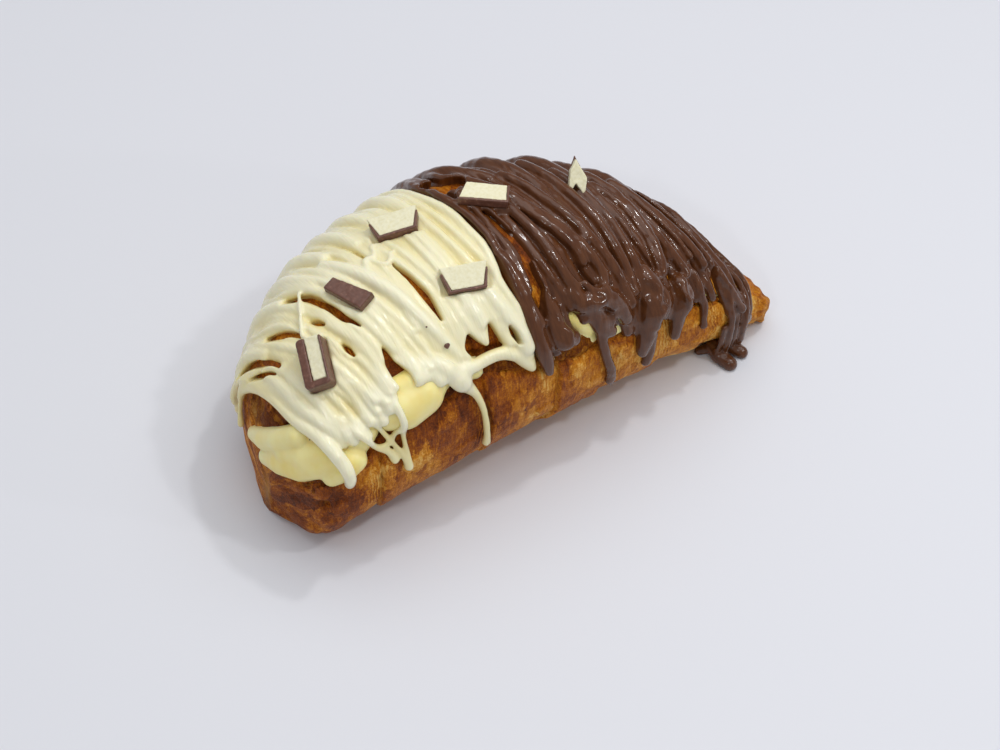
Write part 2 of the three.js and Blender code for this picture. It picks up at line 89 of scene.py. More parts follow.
# %% Colour and node helpers
def linear(hex_value):
    """The linear colour of an sRGB hex value, with alpha 1."""
    channels = [(hex_value >> shift & 255) / 255 for shift in (16, 8, 0)]
    return [c / 12.92 if c <= 0.04045 else ((c + 0.055) / 1.055) ** 2.4 for c in channels] + [1]


def add_node(material, kind, values=None, links=None, steps=None, **settings):
    """Adds a node. values sets its sockets, links joins them to other nodes' outputs, and steps
    gives a colour ramp its (place, hex) pairs."""
    node = material.node_tree.nodes.new(kind)
    for name, value in settings.items():
        setattr(node, name, value)
    for socket, value in (values or {}).items():
        node.inputs[socket].default_value = value
    for socket, output in (links or {}).items():
        material.node_tree.links.new(output, node.inputs[socket])
    if steps:
        elements = node.color_ramp.elements
        while len(elements) < len(steps):
            elements.new(1)
        for element, (place, colour) in zip(elements, steps):
            element.position, element.color = place, linear(colour)
    return node


def new_material(name):
    """A material with no nodes yet."""
    material = bpy.data.materials.new(name)
    material.use_nodes = True
    material.node_tree.nodes.clear()
    return material


def finish(material, values, links=None):
    """Gives a material its shader, with values and links for the shader's sockets."""
    shader = add_node(material, "ShaderNodeBsdfPrincipled", values, links)
    add_node(material, "ShaderNodeOutputMaterial", links={"Surface": shader.outputs[0]})
    return material


print("helpers ready")

# %% [markdown]
# ## The croissant's skin
#
# A croissant is a bent, tapered roll. Its smooth skin is worked out from a few stations along its
# length, each with a sideways shift, a half width and a height, joined by smooth curves. A place
# on it is given by x and by an angle: 0 is the crown, 90 the near side's widest line, 180 the base.

# %% Stations and skin
STATIONS = np.array([
    [-97, -5.5, 4, 22], [-96, -5, 10, 30], [-91, -5, 26, 46], [-80, -1.5, 33.5, 57.5],
    [-62, 3.8, 39.5, 67], [-38, 7.5, 43, 73], [-10, 8, 43.5, 76], [16, 6.7, 41, 71],
    [40, 3.5, 35.5, 60], [60, -3, 28.5, 47], [76, -11.5, 18.5, 30], [84, -17, 10, 20],
    [89.5, -21, 6, 13], [91.5, -22.5, 2.5, 8],
])
SHIFT, HALF_WIDTH, HEIGHT = 1, 2, 3
WIDEST_SHARE = 0.42
SIDE_POWER = 0.92
BASE_REACH = 1.06
BASE_POWER = 0.9


def along(table, column, x):
    """A smooth curve through one column of a table whose first column is x."""
    xs, ys = table[:, 0], table[:, column]
    slopes = np.empty(len(xs))
    slopes[1:-1] = (ys[2:] - ys[:-2]) / (xs[2:] - xs[:-2])
    slopes[0] = (ys[1] - ys[0]) / (xs[1] - xs[0])
    slopes[-1] = (ys[-1] - ys[-2]) / (xs[-1] - xs[-2])
    x = np.clip(x, xs[0], xs[-1])
    i = np.clip(np.searchsorted(xs, x, side="right") - 1, 0, len(xs) - 2)
    run = xs[i + 1] - xs[i]
    t = (x - xs[i]) / run
    start, end, rise = slopes[i] * run, slopes[i + 1] * run, ys[i + 1] - ys[i]
    return ys[i] + t * start + t**2 * (3 * rise - 2 * start - end) + t**3 * (start + end - 2 * rise)


def bare(x, angle):
    """Points of the smooth skin."""
    x, angle = np.broadcast_arrays(np.asarray(x, float), np.asarray(angle, float))
    side, over = np.sin(np.radians(angle)), np.cos(np.radians(angle))
    height = along(STATIONS, HEIGHT, x)
    widest = WIDEST_SHARE * height
    reach = np.sign(side) * np.abs(side) ** SIDE_POWER
    y = along(STATIONS, SHIFT, x) - along(STATIONS, HALF_WIDTH, x) * reach
    z = np.where(over >= 0, widest + (height - widest) * over,
                 widest * (1 - BASE_REACH * np.abs(over) ** BASE_POWER))
    return np.stack([x, y, np.maximum(z, 0)], -1)


def unit(vectors):
    """Vectors of length 1."""
    return vectors / np.maximum(np.linalg.norm(vectors, axis=-1, keepdims=True), 1e-9)


def outward(x, angle):
    """The outward direction of the skin."""
    turn = 0.5
    x, angle = np.broadcast_arrays(np.asarray(x, float), np.asarray(angle, float))
    round_it = bare(x, angle + turn) - bare(x, angle - turn)
    inside = np.clip(x, STATIONS[0, 0] + turn, STATIONS[-1, 0] - turn)
    lengthwise = bare(inside + turn, angle) - bare(inside - turn, angle)
    return unit(np.cross(round_it, lengthwise))


def roll_of(points):
    """For any points: the skin's angle there, and a level, 0 on the skin, 1 at twice its size."""
    x, y, z = points[..., 0], points[..., 1], points[..., 2]
    height = along(STATIONS, HEIGHT, x)
    widest = WIDEST_SHARE * height
    side = (along(STATIONS, SHIFT, x) - y) / along(STATIONS, HALF_WIDTH, x)
    side = np.sign(side) * np.abs(side) ** (1 / SIDE_POWER)
    below = np.maximum(widest - z, 0) / widest / BASE_REACH
    over = np.where(z >= widest, (z - widest) / (height - widest), -(below ** (1 / BASE_POWER)))
    return np.degrees(np.arctan2(side, over)), np.hypot(side, over) - 1


def depth_of(points):
    """Roughly how far points lie outside the smooth skin, in millimetres, negative inside."""
    step = 0.5
    level = roll_of(points)[1]
    slope = [(roll_of(points + step * axis)[1] - level) / step for axis in np.eye(3)]
    return level / np.maximum(np.sqrt(sum(s**2 for s in slope)), 1e-3)


print("croissant: %.0f mm long" % (STATIONS[-1, 0] - STATIONS[0, 0]))

# %% [markdown]
# ## Unevenness
#
# Nothing in a bakery is even. One noise function, made from a seeded table of numbers, gives every
# piece its bumps, so that the croissant comes out the same each time.

# %% Noise
TABLE_SIZE = 4096
NOISE_TABLE = np.random.RandomState(7).uniform(-1, 1, TABLE_SIZE)
HASH = (73856093, 19349663, 83492791)


def noise(points, size, seed=0):
    """Smooth noise from -1 to 1, whose bumps are about `size` millimetres apart."""
    spots = np.asarray(points, float) / size + 31.7 * (seed + 1)
    cells = np.floor(spots).astype(np.int64)
    t = spots - cells
    t = t * t * (3 - 2 * t)
    total = np.zeros(spots.shape[:-1])
    for corner in np.ndindex(*(2,) * spots.shape[-1]):
        key = np.zeros(spots.shape[:-1], np.int64)
        weight = np.ones(spots.shape[:-1])
        for axis, step in enumerate(corner):
            key ^= (cells[..., axis] + step) * HASH[axis]
            weight *= t[..., axis] if step else 1 - t[..., axis]
        total += weight * NOISE_TABLE[key % TABLE_SIZE]
    return total


def ramp(value, low, high):
    """0 below low, 1 above high, and a smooth rise between."""
    t = np.clip((value - low) / (high - low), 0, 1)
    return t * t * (3 - 2 * t)


print("noise table:", TABLE_SIZE)

# %% [markdown]
# ## The crust's relief
#
# The dough is rolled up from a long triangle, so the baked crust steps down from band to band, from
# the middle to both ends. The edges of the bands are ragged. Steam leaves blisters, and the layers
# of dough and butter leave fine ridges that run round the roll. All of this is one height in
# millimetres at each place, so that the chocolate can later lie on it.

# %% Relief
BAND_EDGES = [  # x at the crown, and how far it moves towards the near side
    (-97, 0), (-63.5, -8), (-32, 1), (-14.6, 9.6), (3, 12), (27, 11), (48, 10), (67, 8), (91.5, 0),
]
STEP_DEPTH = 1.4
LIP_FLARE = 0.4
LAYER = 1.2
BUMPS = [(0.38, 11, 2), (0.16, 4.2, 3), (0.12, 2.1, 4)]  # height, size, seed
END_HOLE, HOLE_DEPTH = (-90.3, 78.3), 2.8
FLAKES = [  # x, angle, half length, half turn
    (-93.4, 60, 2.6, 9), (-89.4, 66, 3.6, 5.5), (-86, 84, 3.2, 5), (-74, 78, 4.2, 5),
    (-58, 86, 5, 6), (-47, 72, 4.4, 4.5), (-40, 95, 3.6, 5), (-20, 84, 5, 5.5), (-9, 100, 3.8, 5),
    (2, 82, 3.2, 6), (10, 95, 4.4, 4.5), (24, 84, 4, 5), (37, 92, 4.6, 5), (50, 78, 3.6, 5),
    (58, 96, 4, 6),
]
FLAKE_RISE = 0.4
TUCK_RUN = 7
MIDDLE_X = -10
DEGREE = 0.7  # a degree round the roll is about this many millimetres


def edge_line(i, angle):
    """x of the ragged edge of a band at an angle."""
    crown_x, wander = BAND_EDGES[i]
    line = crown_x + wander * np.sin(np.radians(angle))
    if 0 < i < len(BAND_EDGES) - 1:
        arc = np.asarray(angle, float) * DEGREE
        spots = np.stack([arc, np.full(np.shape(angle), 40.0 * i)], -1)
        line = line + 1.1 * noise(spots, 9, i) + 0.45 * noise(spots, 2.6, i + 20)
    return line


def laminae(x, angle):
    """How strongly the cut layers of dough show, next to each band edge, and which layer it is."""
    p = bare(x, angle)
    show, layer = np.zeros(x.shape), np.zeros(x.shape)
    for i in range(1, len(BAND_EDGES) - 1):
        edge = edge_line(i, angle)
        out = np.where(BAND_EDGES[i][0] > MIDDLE_X, x - edge, edge - x)
        here = ramp(out, -0.3, 0.3) * ramp(-out, -8, -3) * ramp(noise(p, 16, 90 + i), -0.1, 0.4)
        layer = np.where(here > show, (out + 0.8 * noise(p, 7, 9)) / LAYER, layer)
        show = np.maximum(show, here)
    return show, layer


def flakes(x, angle):
    """1 on a loose flake of the top layer, 0 beside it, with a ragged rim."""
    spots = np.stack([np.asarray(x, float), np.asarray(angle, float) * DEGREE], -1)
    ragged = 0.4 * noise(spots, 2.6, 30) + 0.2 * noise(spots, 1.2, 31)
    on = np.zeros(np.shape(x))
    for flake_x, flake_angle, half_long, half_turn in FLAKES:
        away = np.hypot((x - flake_x) / half_long, (angle - flake_angle) / half_turn)
        on = np.maximum(on, ramp(1 - away + ragged, -0.12, 0.12))
    return on


def relief(x, angle):
    """Height of the baked crust over the smooth skin."""
    x, angle = np.broadcast_arrays(np.asarray(x, float), np.asarray(angle, float))
    p = bare(x, angle)
    height = np.zeros(x.shape)
    for i in range(1, len(BAND_EDGES) - 1):
        edge = edge_line(i, angle)
        out = np.where(BAND_EDGES[i][0] > MIDDLE_X, x - edge, edge - x)
        bold = 1 + 0.45 * noise(p, 18, 80 + i)
        before = np.minimum(out, 0)
        rise = LIP_FLARE * np.exp(before / 2.5) - 0.45 * np.exp(before / 0.25)
        fall = -STEP_DEPTH * np.exp(-np.maximum(out, 0) / TUCK_RUN)
        height += np.where(out > 0, fall, rise) * bold
    show, layer = laminae(x, angle)
    height += 0.3 * show * (0.5 - layer % 1)
    grain = np.stack([x, angle * DEGREE / 9], -1)
    height += 0.16 * noise(grain, 1.7, 1) * ramp(noise(p, 14, 5), -0.5, 0.4)
    height += sum(tall * noise(p, size, seed) for tall, size, seed in BUMPS)
    wrinkle = np.exp(-((noise(p, 9, 8) / 0.13) ** 2))
    height += ramp(-x, 80, 94) * (0.5 * noise(p, 6, 6) - 0.7 * wrinkle)
    height *= ramp(p[..., 2], 0, 6)
    height += FLAKE_RISE * flakes(x, angle)
    hole = np.exp(-((p - bare(*END_HOLE)) ** 2).sum(-1) / 3.2)
    nub = ramp(x, 76, 86) * ramp(p[..., 2], 0, 2)
    return height - HOLE_DEPTH * hole + nub * (1.5 * noise(p, 4.5, 6) + 0.9 * noise(p, 2.2, 7))


print("relief at the middle: %.2f mm" % relief(0.0, 60.0))

# %% [markdown]
# ## The cut
#
# The baker cuts the croissant open along the near side and pipes cream in. The cut is a wedge: each
# row gives x, the angle of the lower lip, that of the lid's edge, and how deep the wedge goes. The
# lips are a little uneven, and rounded where the crust curls over.

# %% Cut
MOUTH = np.array([
    [-91.6, 58, 8, 20], [-84, 63, 32, 18], [-76, 62, 40, 12], [-66, 57, 42, 8], [-56, 63, 42, 4],
    [-45, 62, 46, 2], [-34, 60, 49, 2], [-22, 66, 52, 2], [-4, 74, 57, 2], [12, 72, 60, 2],
    [33, 72, 56, 0], [50, 66, 55, -2], [68, 61, 58, -8],
])
END_X, END_Z = -92.3, 29
INNER_HEIGHT = 3
LIP_ROUND = 2.4
OVERSHOOT = 0.6


def lips(x):
    """Angles of the lower lip and the lid's edge, with their unevenness."""
    spots = np.stack([np.asarray(x, float), np.zeros(np.shape(x))], -1)
    low = along(MOUTH, 1, x) + 1.6 * noise(spots, 7, 11) + 0.7 * noise(spots, 2.5, 12)
    high = along(MOUTH, 2, x) + 1.2 * noise(spots, 7, 13) + 0.5 * noise(spots, 2.5, 14)
    return low, high


def lip_rounding(x, angle):
    """How far the crust curls in next to the cut."""
    p = bare(x, angle)
    low, high = lips(x)
    away = np.minimum(np.abs(angle - low), np.abs(angle - high)) * DEGREE
    away = np.where((x > MOUTH[-1, 0]) | (x < END_X), 99, away)
    rim = np.where(x < END_X, np.abs(END_Z - p[..., 2]), 99)
    lid_end = np.where((x >= END_X) & (angle < high) & (p[..., 2] > END_Z), x - END_X, 99)
    d = np.minimum(np.minimum(away, rim), lid_end)
    inside = np.clip(LIP_ROUND - d, 0, LIP_ROUND)
    return LIP_ROUND - np.sqrt(LIP_ROUND**2 - inside**2)


print("cut: %.0f mm long" % (MOUTH[-1, 0] - MOUTH[0, 0]))

# %% [markdown]
# ## Making meshes
#
# Two ways of making a mesh serve here. A **loft** joins rings of points, which suits the crust,
# because its rings can follow the ragged edges of the bands. A **distance field** suits soft
# things: each strand of chocolate or lobe of cream writes its distance into a grid, a smooth
# minimum melts neighbours into each other, and the zero surface is turned into quads.


# %% Mesh helpers
def add_mesh(name, points, faces, material=None):
    """A smooth object from points in millimetres, in the frame's own place."""
    mesh = bpy.data.meshes.new(name)
    faces = faces if isinstance(faces, list) else faces.tolist()
    mesh.from_pydata((np.asarray(points) * MM).tolist(), [], faces)
    mesh.shade_smooth()
    piece = bpy.data.objects.new(name, mesh)
    bpy.context.scene.collection.objects.link(piece)
    if material:
        mesh.materials.append(material)
    return piece


def points_of(piece):
    """A piece's points, in millimetres."""
    flat = np.empty(len(piece.data.vertices) * 3, np.float32)
    piece.data.vertices.foreach_get("co", flat)
    return flat.reshape(-1, 3).astype(float) / MM


def paint(piece, name, values):
    """Stores one value, or one vector, at each point for the material to read."""
    kind, key = ("FLOAT", "value") if values.ndim == 1 else ("FLOAT_VECTOR", "vector")
    attribute = piece.data.attributes.new(name, kind, "POINT")
    attribute.data.foreach_set(key, np.ascontiguousarray(values, np.float32).ravel())


def loft(rings):
    """Points and faces of a closed body through rings of equal length."""
    n = rings.shape[1]
    points = np.concatenate([rings.reshape(-1, 3), [rings[0].mean(0)], [rings[-1].mean(0)]])
    faces = []
    j = np.arange(n)
    for i in range(len(rings) - 1):
        a, b = i * n + j, i * n + (j + 1) % n
        faces += np.stack([a, b, b + n, a + n], -1).tolist()
    last = (len(rings) - 1) * n
    faces += np.stack([(j + 1) % n, j, np.full(n, len(points) - 2)], -1).tolist()
    faces += np.stack([last + j, last + (j + 1) % n, np.full(n, len(points) - 1)], -1).tolist()
    return points, faces


def cut_away(piece, cutter):
    """Takes the cutter out of the piece, and deletes the cutter."""
    modifier = piece.modifiers.new("cut", "BOOLEAN")
    modifier.operation = "DIFFERENCE"
    modifier.solver = "MANIFOLD"
    modifier.object = cutter
    bpy.context.view_layer.objects.active = piece
    bpy.ops.object.modifier_apply(modifier=modifier.name)
    bpy.data.objects.remove(cutter)
    piece.data.materials.clear()
    piece.data.polygons.foreach_set("material_index", np.zeros(len(piece.data.polygons), np.int32))


def lighten(piece, triangles):
    """Merges the edges that matter least, until about this many triangles are left."""
    count = sum(len(face.vertices) - 2 for face in piece.data.polygons)
    modifier = piece.modifiers.new("lighten", "DECIMATE")
    modifier.ratio = min(1, triangles / count)
    bpy.context.view_layer.objects.active = piece
    bpy.ops.object.modifier_apply(modifier=modifier.name)


print("mesh helpers ready")

# %% [markdown]
# ## The crust's mesh
#
# The rings follow the band edges, closer together beside an edge so that its step is crisp. They
# are also finer on the near side, which faces the eye. The wedge is then cut out of the loaf.

# %% Crust
ROW_STEP, EDGE_STEP = 1.0, 0.36
NEAR_STEP, FAR_STEP = 1.05, 2.4  # degrees
FIRST_ROW, EDGE_REACH = 0.12, 7.5  # millimetres from an edge


def ring_angles():
    """Angles once round, finer on the near side."""
    angles = [-180.0]
    while angles[-1] < 180:
        angles.append(angles[-1] + (NEAR_STEP if 20 < angles[-1] < 150 else FAR_STEP))
    angles = np.array(angles)
    return (-180 + 360 * (angles + 180) / (angles[-1] + 180))[:-1]


def crust_rings():
    """Rings of the crust's points, row by row from the blunt end to the tip."""
    angles = ring_angles()
    edges = [edge_line(i, angles) for i in range(len(BAND_EDGES))]
    rings = []
    for i in range(len(edges) - 1):
        length = (edges[i + 1] - edges[i]).mean()
        even = np.linspace(0, 1, round(length / ROW_STEP) + 1)[:-1]
        rows = np.arange(EDGE_STEP, min(EDGE_REACH, length / 2), EDGE_STEP)
        near = np.concatenate([[FIRST_ROW], rows]) / length
        if (BAND_EDGES[i][0] + BAND_EDGES[i + 1][0]) / 2 < MIDDLE_X:
            near = 1 - near
        for share in np.unique(np.round(np.concatenate([even, near]), 4)):
            rings.append(edges[i] + (edges[i + 1] - edges[i]) * share)
    rings.append(edges[-1])
    result = []
    for x in rings:
        lift = relief(x, angles) - lip_rounding(x, angles)
        ring = bare(x, angles) + outward(x, angles) * lift[:, None]
        ring[:, 2] = np.maximum(ring[:, 2], 0)
        result.append(ring)
    return np.array(result)


def wedge_rings():
    """Rings of the body that is cut out: a block off the blunt end, then the wedge."""
    far, top = 60.0, 90.0
    block = [(far, END_Z), (-far, END_Z), (-far, top), (far, top)]
    rings = [[(x, y, z) for y, z in block] for x in (STATIONS[0, 0] - 10, END_X)]
    for x in np.arange(MOUTH[0, 0], MOUTH[-1, 0] + 0.1, 1.4):
        low_angle, high_angle = lips(x)
        low, high = bare(x, low_angle), bare(x, high_angle)
        inner = np.array([x, along(MOUTH, 3, x), (low[2] + high[2]) / 2 - INNER_HEIGHT / 2])
        half = np.array([0, 0, INNER_HEIGHT / 2])
        rings.append([inner - half, low + (low - inner) * OVERSHOOT,
                      high + (high - inner) * OVERSHOOT, inner + half])
    return np.array(rings, float)


crust = add_mesh("baked_crust", *loft(crust_rings()))
cut_away(crust, add_mesh("cutter", *loft(wedge_rings())))
print("crust faces:", len(crust.data.polygons))

# %% [markdown]
# The material needs to know where each point lies on the roll. The grain runs round it, so x and
# the arc are stored as a vector. How dark that place is baked is stored too, and how deep in a
# crease it lies, which sets the painted shade in the creases.

# %% What the oven did
def paint_crust(piece):
    """Stores the grain, the browning, the cut layers and the soft crumb at each point."""
    p = points_of(piece)
    x, z = p[:, 0], p[:, 2]
    angle, _ = roll_of(p)
    depth = depth_of(p)
    height = relief(x, angle)
    show, layer = laminae(x, angle)
    baked = 0.55 + 0.2 * noise(p, 24, 40) + 0.13 * noise(p, 8, 41)
    baked += 0.1 * np.clip(height, -1.5, 1) - 0.16 * ramp(x, -30, 20)  # ridges dark, thin half pale
    baked += 0.07 * ramp(-x, 66, 94) + 0.08 * ramp(x, 78, 88)  # both ends darker
    baked += 0.1 * ramp(z, 45, 66) - 0.14 * ramp(-z, -24, -6)  # crown darker, base paler
    baked -= 0.17 * flakes(x, angle)
    paint(piece, "grain", np.stack([x, np.abs(angle) * DEGREE, depth], -1))
    paint(piece, "baked", np.clip(baked, 0, 1))
    # the third value, how deep a crease lies, sets the painted shade in the creases
    paint(piece, "layers", np.stack([show, layer, ramp(-height, 1.2, 2.2)], -1))
    paint(piece, "crumb", ramp(-depth, 3.2, 4.6))


paint_crust(crust)

# %% [markdown]
# **Baked butter pastry.** Egg wash and sugar brown in the oven, so the high places are chestnut and
# the creases stay golden. The surface is satin where the wash glazed it and dull where it flaked.
# Four noises make it uneven: patches of browning, grit, streaks where the layers run round the
# roll, and broad bands of them. The layers are about half a millimetre thick, and the streaks are
# drawn a little wider, so that they show.

# %% Noises of the crust
NOISES = {  # is it along the grain, its size in mm across, round and into the crust, and the rest
    "patches": (False, (3.3333, 3.3333, 3.3333), 6, 0.62, 0.6),
    "grit": (False, (0.66667, 0.66667, 0.66667), 5, 0.72, 0),
    "streaks": (True, (0.66667, 4.5455, 2.5), 5, 0.66, 0.8),
    "bands": (True, (2.9412, 16.667, 10), 3, 0.5, 1.6),
    "wobble": (False, (2.8571, 2.8571, 2.8571), 4, 0.6, 0),
}
pastry = new_material("baked_butter_pastry")
place = add_node(pastry, "ShaderNodeTexCoord").outputs["Object"]
in_mm = add_node(pastry, "ShaderNodeVectorMath", operation="SCALE", values={"Scale": 1 / MM},
                 links={0: place}).outputs[0]
stored = {name: add_node(pastry, "ShaderNodeAttribute", attribute_name=name).outputs
          for name in ("baked", "crumb", "grain", "layers")}
grain = stored["grain"]["Vector"]
patterns = {}
for name, (grained, size, detail, roughness, distortion) in NOISES.items():
    sized = add_node(pastry, "ShaderNodeVectorMath", operation="DIVIDE", values={1: size},
                     links={0: grain if grained else in_mm}).outputs[0]
    patterns[name] = add_node(pastry, "ShaderNodeTexNoise", links={"Vector": sized}, values={
        "Scale": 1, "Detail": detail, "Roughness": roughness, "Distortion": distortion}).outputs
print("noises:", ", ".join(patterns))

# %% [markdown]
# The top layer of dough breaks into flakes about 5 mm wide and 11 mm long. A Voronoi pattern gives
# each flake its own tone and a dark rim, and the wobble makes its rim ragged. Near each band's edge
# the cut layers show as stripes.

# %% Flakes and layers of the crust
FLAKE_SIZE = (4.5455, 11.111, 5)
RAGGED = 4.5
RIM = 0.03

ragged = add_node(pastry, "ShaderNodeVectorMath", operation="MULTIPLY_ADD",
                  values={1: (RAGGED,) * 3},
                  links={0: patterns["wobble"]["Color"], 2: grain}).outputs[0]
sheets = add_node(pastry, "ShaderNodeVectorMath", operation="DIVIDE", values={1: FLAKE_SIZE},
                  links={0: ragged}).outputs[0]
cell = add_node(pastry, "ShaderNodeTexVoronoi", values={"Scale": 1}, links={"Vector": sheets})
rim = add_node(pastry, "ShaderNodeTexVoronoi", feature="DISTANCE_TO_EDGE", values={"Scale": 1},
               links={"Vector": sheets})
tones = {name: patterns[name]["Fac"] for name in ("patches", "grit", "streaks", "bands")}
tones["flake"] = add_node(pastry, "ShaderNodeSeparateColor",
                          links={0: cell.outputs["Color"]}).outputs[0]
tones["rim"] = add_node(pastry, "ShaderNodeMapRange",
                        values={"From Max": RIM, "To Min": 1, "To Max": 0},
                        links={"Value": rim.outputs["Distance"]}).outputs[0]
shown, layer, painted_crease_shade = add_node(
    pastry, "ShaderNodeSeparateXYZ", links={0: stored["layers"]["Vector"]}).outputs
layer = add_node(pastry, "ShaderNodeMath", operation="MULTIPLY_ADD", values={1: 1.1},
                 links={0: tones["grit"], 2: layer}).outputs[0]
layer = add_node(pastry, "ShaderNodeMath", operation="FRACT", links={0: layer}).outputs[0]
layer = add_node(pastry, "ShaderNodeMath", operation="MULTIPLY_ADD", values={1: 0.5, 2: -0.26},
                 links={0: layer}).outputs[0]
stripe = add_node(pastry, "ShaderNodeMath", operation="MULTIPLY",
                  links={0: layer, 1: shown}).outputs[0]
print("tones:", ", ".join(tones))

# %% [markdown]
# How brown a place is adds up from what the oven did there and from all the tones. A ramp turns
# that to colour, from pale gold to dark chestnut. Creases get painted shade; the crumb is paler.

# %% Colour of the crust
WEIGHTS = {"patches": 0.8, "grit": 0.85, "streaks": 0.7, "bands": 0.6, "flake": 0.3}
RIM_WEIGHT = 0.12
CRUST_COLOURS = [(0.0, 0xECBC64), (0.2, 0xD98F26), (0.42, 0xB7690B), (0.6, 0x934907),
                 (0.8, 0x703307), (1.0, 0x4E2103)]
# the crease colour is painted shade, mixed into the deepest creases
CREASE_SHADE_COLOUR, CRUMB_COLOUR = 0x4A230C, 0xC08A44

brown = add_node(pastry, "ShaderNodeMath", operation="ADD",
                 links={0: stored["baked"]["Fac"], 1: stripe}).outputs[0]
for name, weight in [*WEIGHTS.items(), ("rim", RIM_WEIGHT)]:
    brown = add_node(pastry, "ShaderNodeMath", operation="MULTIPLY_ADD", values={1: weight},
                     links={0: tones[name], 2: brown}).outputs[0]
brown = add_node(pastry, "ShaderNodeMath", operation="SUBTRACT", use_clamp=True,
                 values={1: sum(WEIGHTS.values()) / 2}, links={0: brown}).outputs[0]
colour = add_node(pastry, "ShaderNodeValToRGB", links={"Fac": brown},
                  steps=CRUST_COLOURS).outputs[0]
crumb = stored["crumb"]["Fac"]
# painted shade darkens the deep creases; the crumb's paler colour is its own
for share, weight, tint in ((painted_crease_shade, 0.6, CREASE_SHADE_COLOUR), (crumb, 0.8, CRUMB_COLOUR)):
    share = add_node(pastry, "ShaderNodeMath", operation="MULTIPLY", values={1: weight},
                     links={0: share}).outputs[0]
    colour = add_node(pastry, "ShaderNodeMix", data_type="RGBA", values={"B": linear(tint)},
                      links={"Factor": share, "A": colour}).outputs["Result"]
print("colours of the crust:", len(CRUST_COLOURS))

# %% Gloss and bumps of the crust
height = tones["streaks"]
for name, weight in (("patches", 0.5), ("grit", 0.55), ("rim", -0.2)):
    height = add_node(pastry, "ShaderNodeMath", operation="MULTIPLY_ADD", values={1: weight},
                      links={0: tones[name], 2: height}).outputs[0]
bump = add_node(pastry, "ShaderNodeBump", values={"Strength": 0.8, "Distance": 0.7 * MM},
                links={"Height": height}).outputs[0]
gloss = add_node(pastry, "ShaderNodeMapRange", values={"To Min": 0.3, "To Max": 0.6},
                 links={"Value": tones["grit"]}).outputs[0]
finish(pastry, {"IOR": 1.45, "Specular IOR Level": 0.2},
       {"Base Color": colour, "Roughness": gloss, "Normal": bump})
crust.data.materials.append(pastry)
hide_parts("croissant_crust")
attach(crust, "root")
print("crust material nodes:", len(pastry.node_tree.nodes))

# %% [markdown]
# ## Soft things as distance fields
#
# A volume is a box of grid points. A stroke is a chain of round-ended pieces that get thicker or
# thinner, like a squeeze of cream or a pour of chocolate. The nearest stroke piece gives the
# distance, and a smooth minimum with a blend in millimetres melts the stroke into what is there.

# %% Distance fields
FAR_AWAY = 99.0


class Volume:
    """A grid of distances in millimetres over a box."""

    def __init__(self, low, high, step):
        self.low, self.step = np.array(low, float), step
        self.axes = [np.arange(a, b + step, step) for a, b in zip(low, high)]
        self.field = np.full([len(a) for a in self.axes], FAR_AWAY, np.float32)

    def window(self, low, high):
        """Index ranges and coordinates of the grid points in a box."""
        first = np.maximum(np.floor((low - self.low) / self.step).astype(int), 0)
        last = np.minimum(np.ceil((high - self.low) / self.step).astype(int) + 1, self.field.shape)
        where = tuple(slice(a, max(a, b)) for a, b in zip(first, last))
        x, y, z = (axis[w] for axis, w in zip(self.axes, where))
        return where, x[:, None, None], y[None, :, None], z[None, None, :]

    def chain(self, path, radii, margin):
        """Distance from a chain of round-ended pieces, over the part of the grid around it."""
        path = np.asarray(path, float)
        radii = np.broadcast_to(np.asarray(radii, float), len(path))
        margin = radii.max() + margin + 2 * self.step
        where, *_ = self.window(path.min(0) - margin, path.max(0) + margin)
        start = np.array([w.start for w in where])
        local = np.full(self.field[where].shape, FAR_AWAY, np.float32)
        for a, b, ra, rb in zip(path[:-1], path[1:], radii[:-1], radii[1:]):
            part, x, y, z = self.window(np.minimum(a, b) - margin, np.maximum(a, b) + margin)
            axis = b - a
            square = max(float(axis @ axis), 1e-6)
            t = ((x - a[0]) * axis[0] + (y - a[1]) * axis[1] + (z - a[2]) * axis[2]) / square
            t = np.clip(t, 0, 1)
            gap = np.sqrt((x - a[0] - t * axis[0]) ** 2 + (y - a[1] - t * axis[1]) ** 2
                          + (z - a[2] - t * axis[2]) ** 2) - (ra + (rb - ra) * t)
            inner = tuple(slice(p.start - s, p.stop - s) for p, s in zip(part, start))
            np.minimum(local[inner], gap, out=local[inner])
        return where, local

    def stroke(self, path, radii, blend=0.8):
        """Melts a chain of round-ended pieces into the field."""
        where, local = self.chain(path, radii, blend)
        self.field[where] = melt(self.field[where], local, blend)

    def carve(self, path, radii, blend=0.5):
        """Takes a chain of round-ended pieces out of the field."""
        where, local = self.chain(path, radii, blend)
        self.field[where] = meet(self.field[where], -local, blend)

    def points(self):
        """All the grid points."""
        grid = np.meshgrid(*self.axes, indexing="ij")
        return np.stack(grid, -1)

    def mesh(self, name, soften=0):
        """The surface at distance 0 as an object made of quads, softened a little where asked."""
        limit = 3 * self.step
        field = np.clip(self.field, -limit, limit)
        for axis in range(3 * soften):
            field = np.moveaxis(field, axis % 3, 0)
            field[1:-1] = (field[:-2] + 2 * field[1:-1] + field[2:]) / 4
            field = np.moveaxis(field, 0, axis % 3)
        grid = openvdb.FloatGrid(limit)
        grid.copyFromArray(np.ascontiguousarray(field))
        grid.transform = openvdb.createLinearTransform(voxelSize=self.step)
        points, quads = grid.convertToQuads(isovalue=0)
        return add_mesh(name, points + self.low, quads[:, ::-1])


def melt(a, b, blend):
    """The smaller of two distances, with a smooth join."""
    near = np.maximum(blend - np.abs(a - b), 0) / blend
    return np.minimum(a, b) - near**2 * blend / 4


def meet(a, b, blend):
    """The larger of two distances, with a smooth edge: what lies inside both."""
    return -melt(-a, -b, blend)


print("a stroke blends with its neighbours over 0.8 mm unless told otherwise")

# %% [markdown]
# ## The cream
#
# Pastry cream is piped in lobes from a plain nozzle. It fills the cut and swells out where the lid
# is short: a fan of lobes at the blunt end and a big smooth one further along. Each lobe is
# a row of places: x, angle, height over the skin and radius.

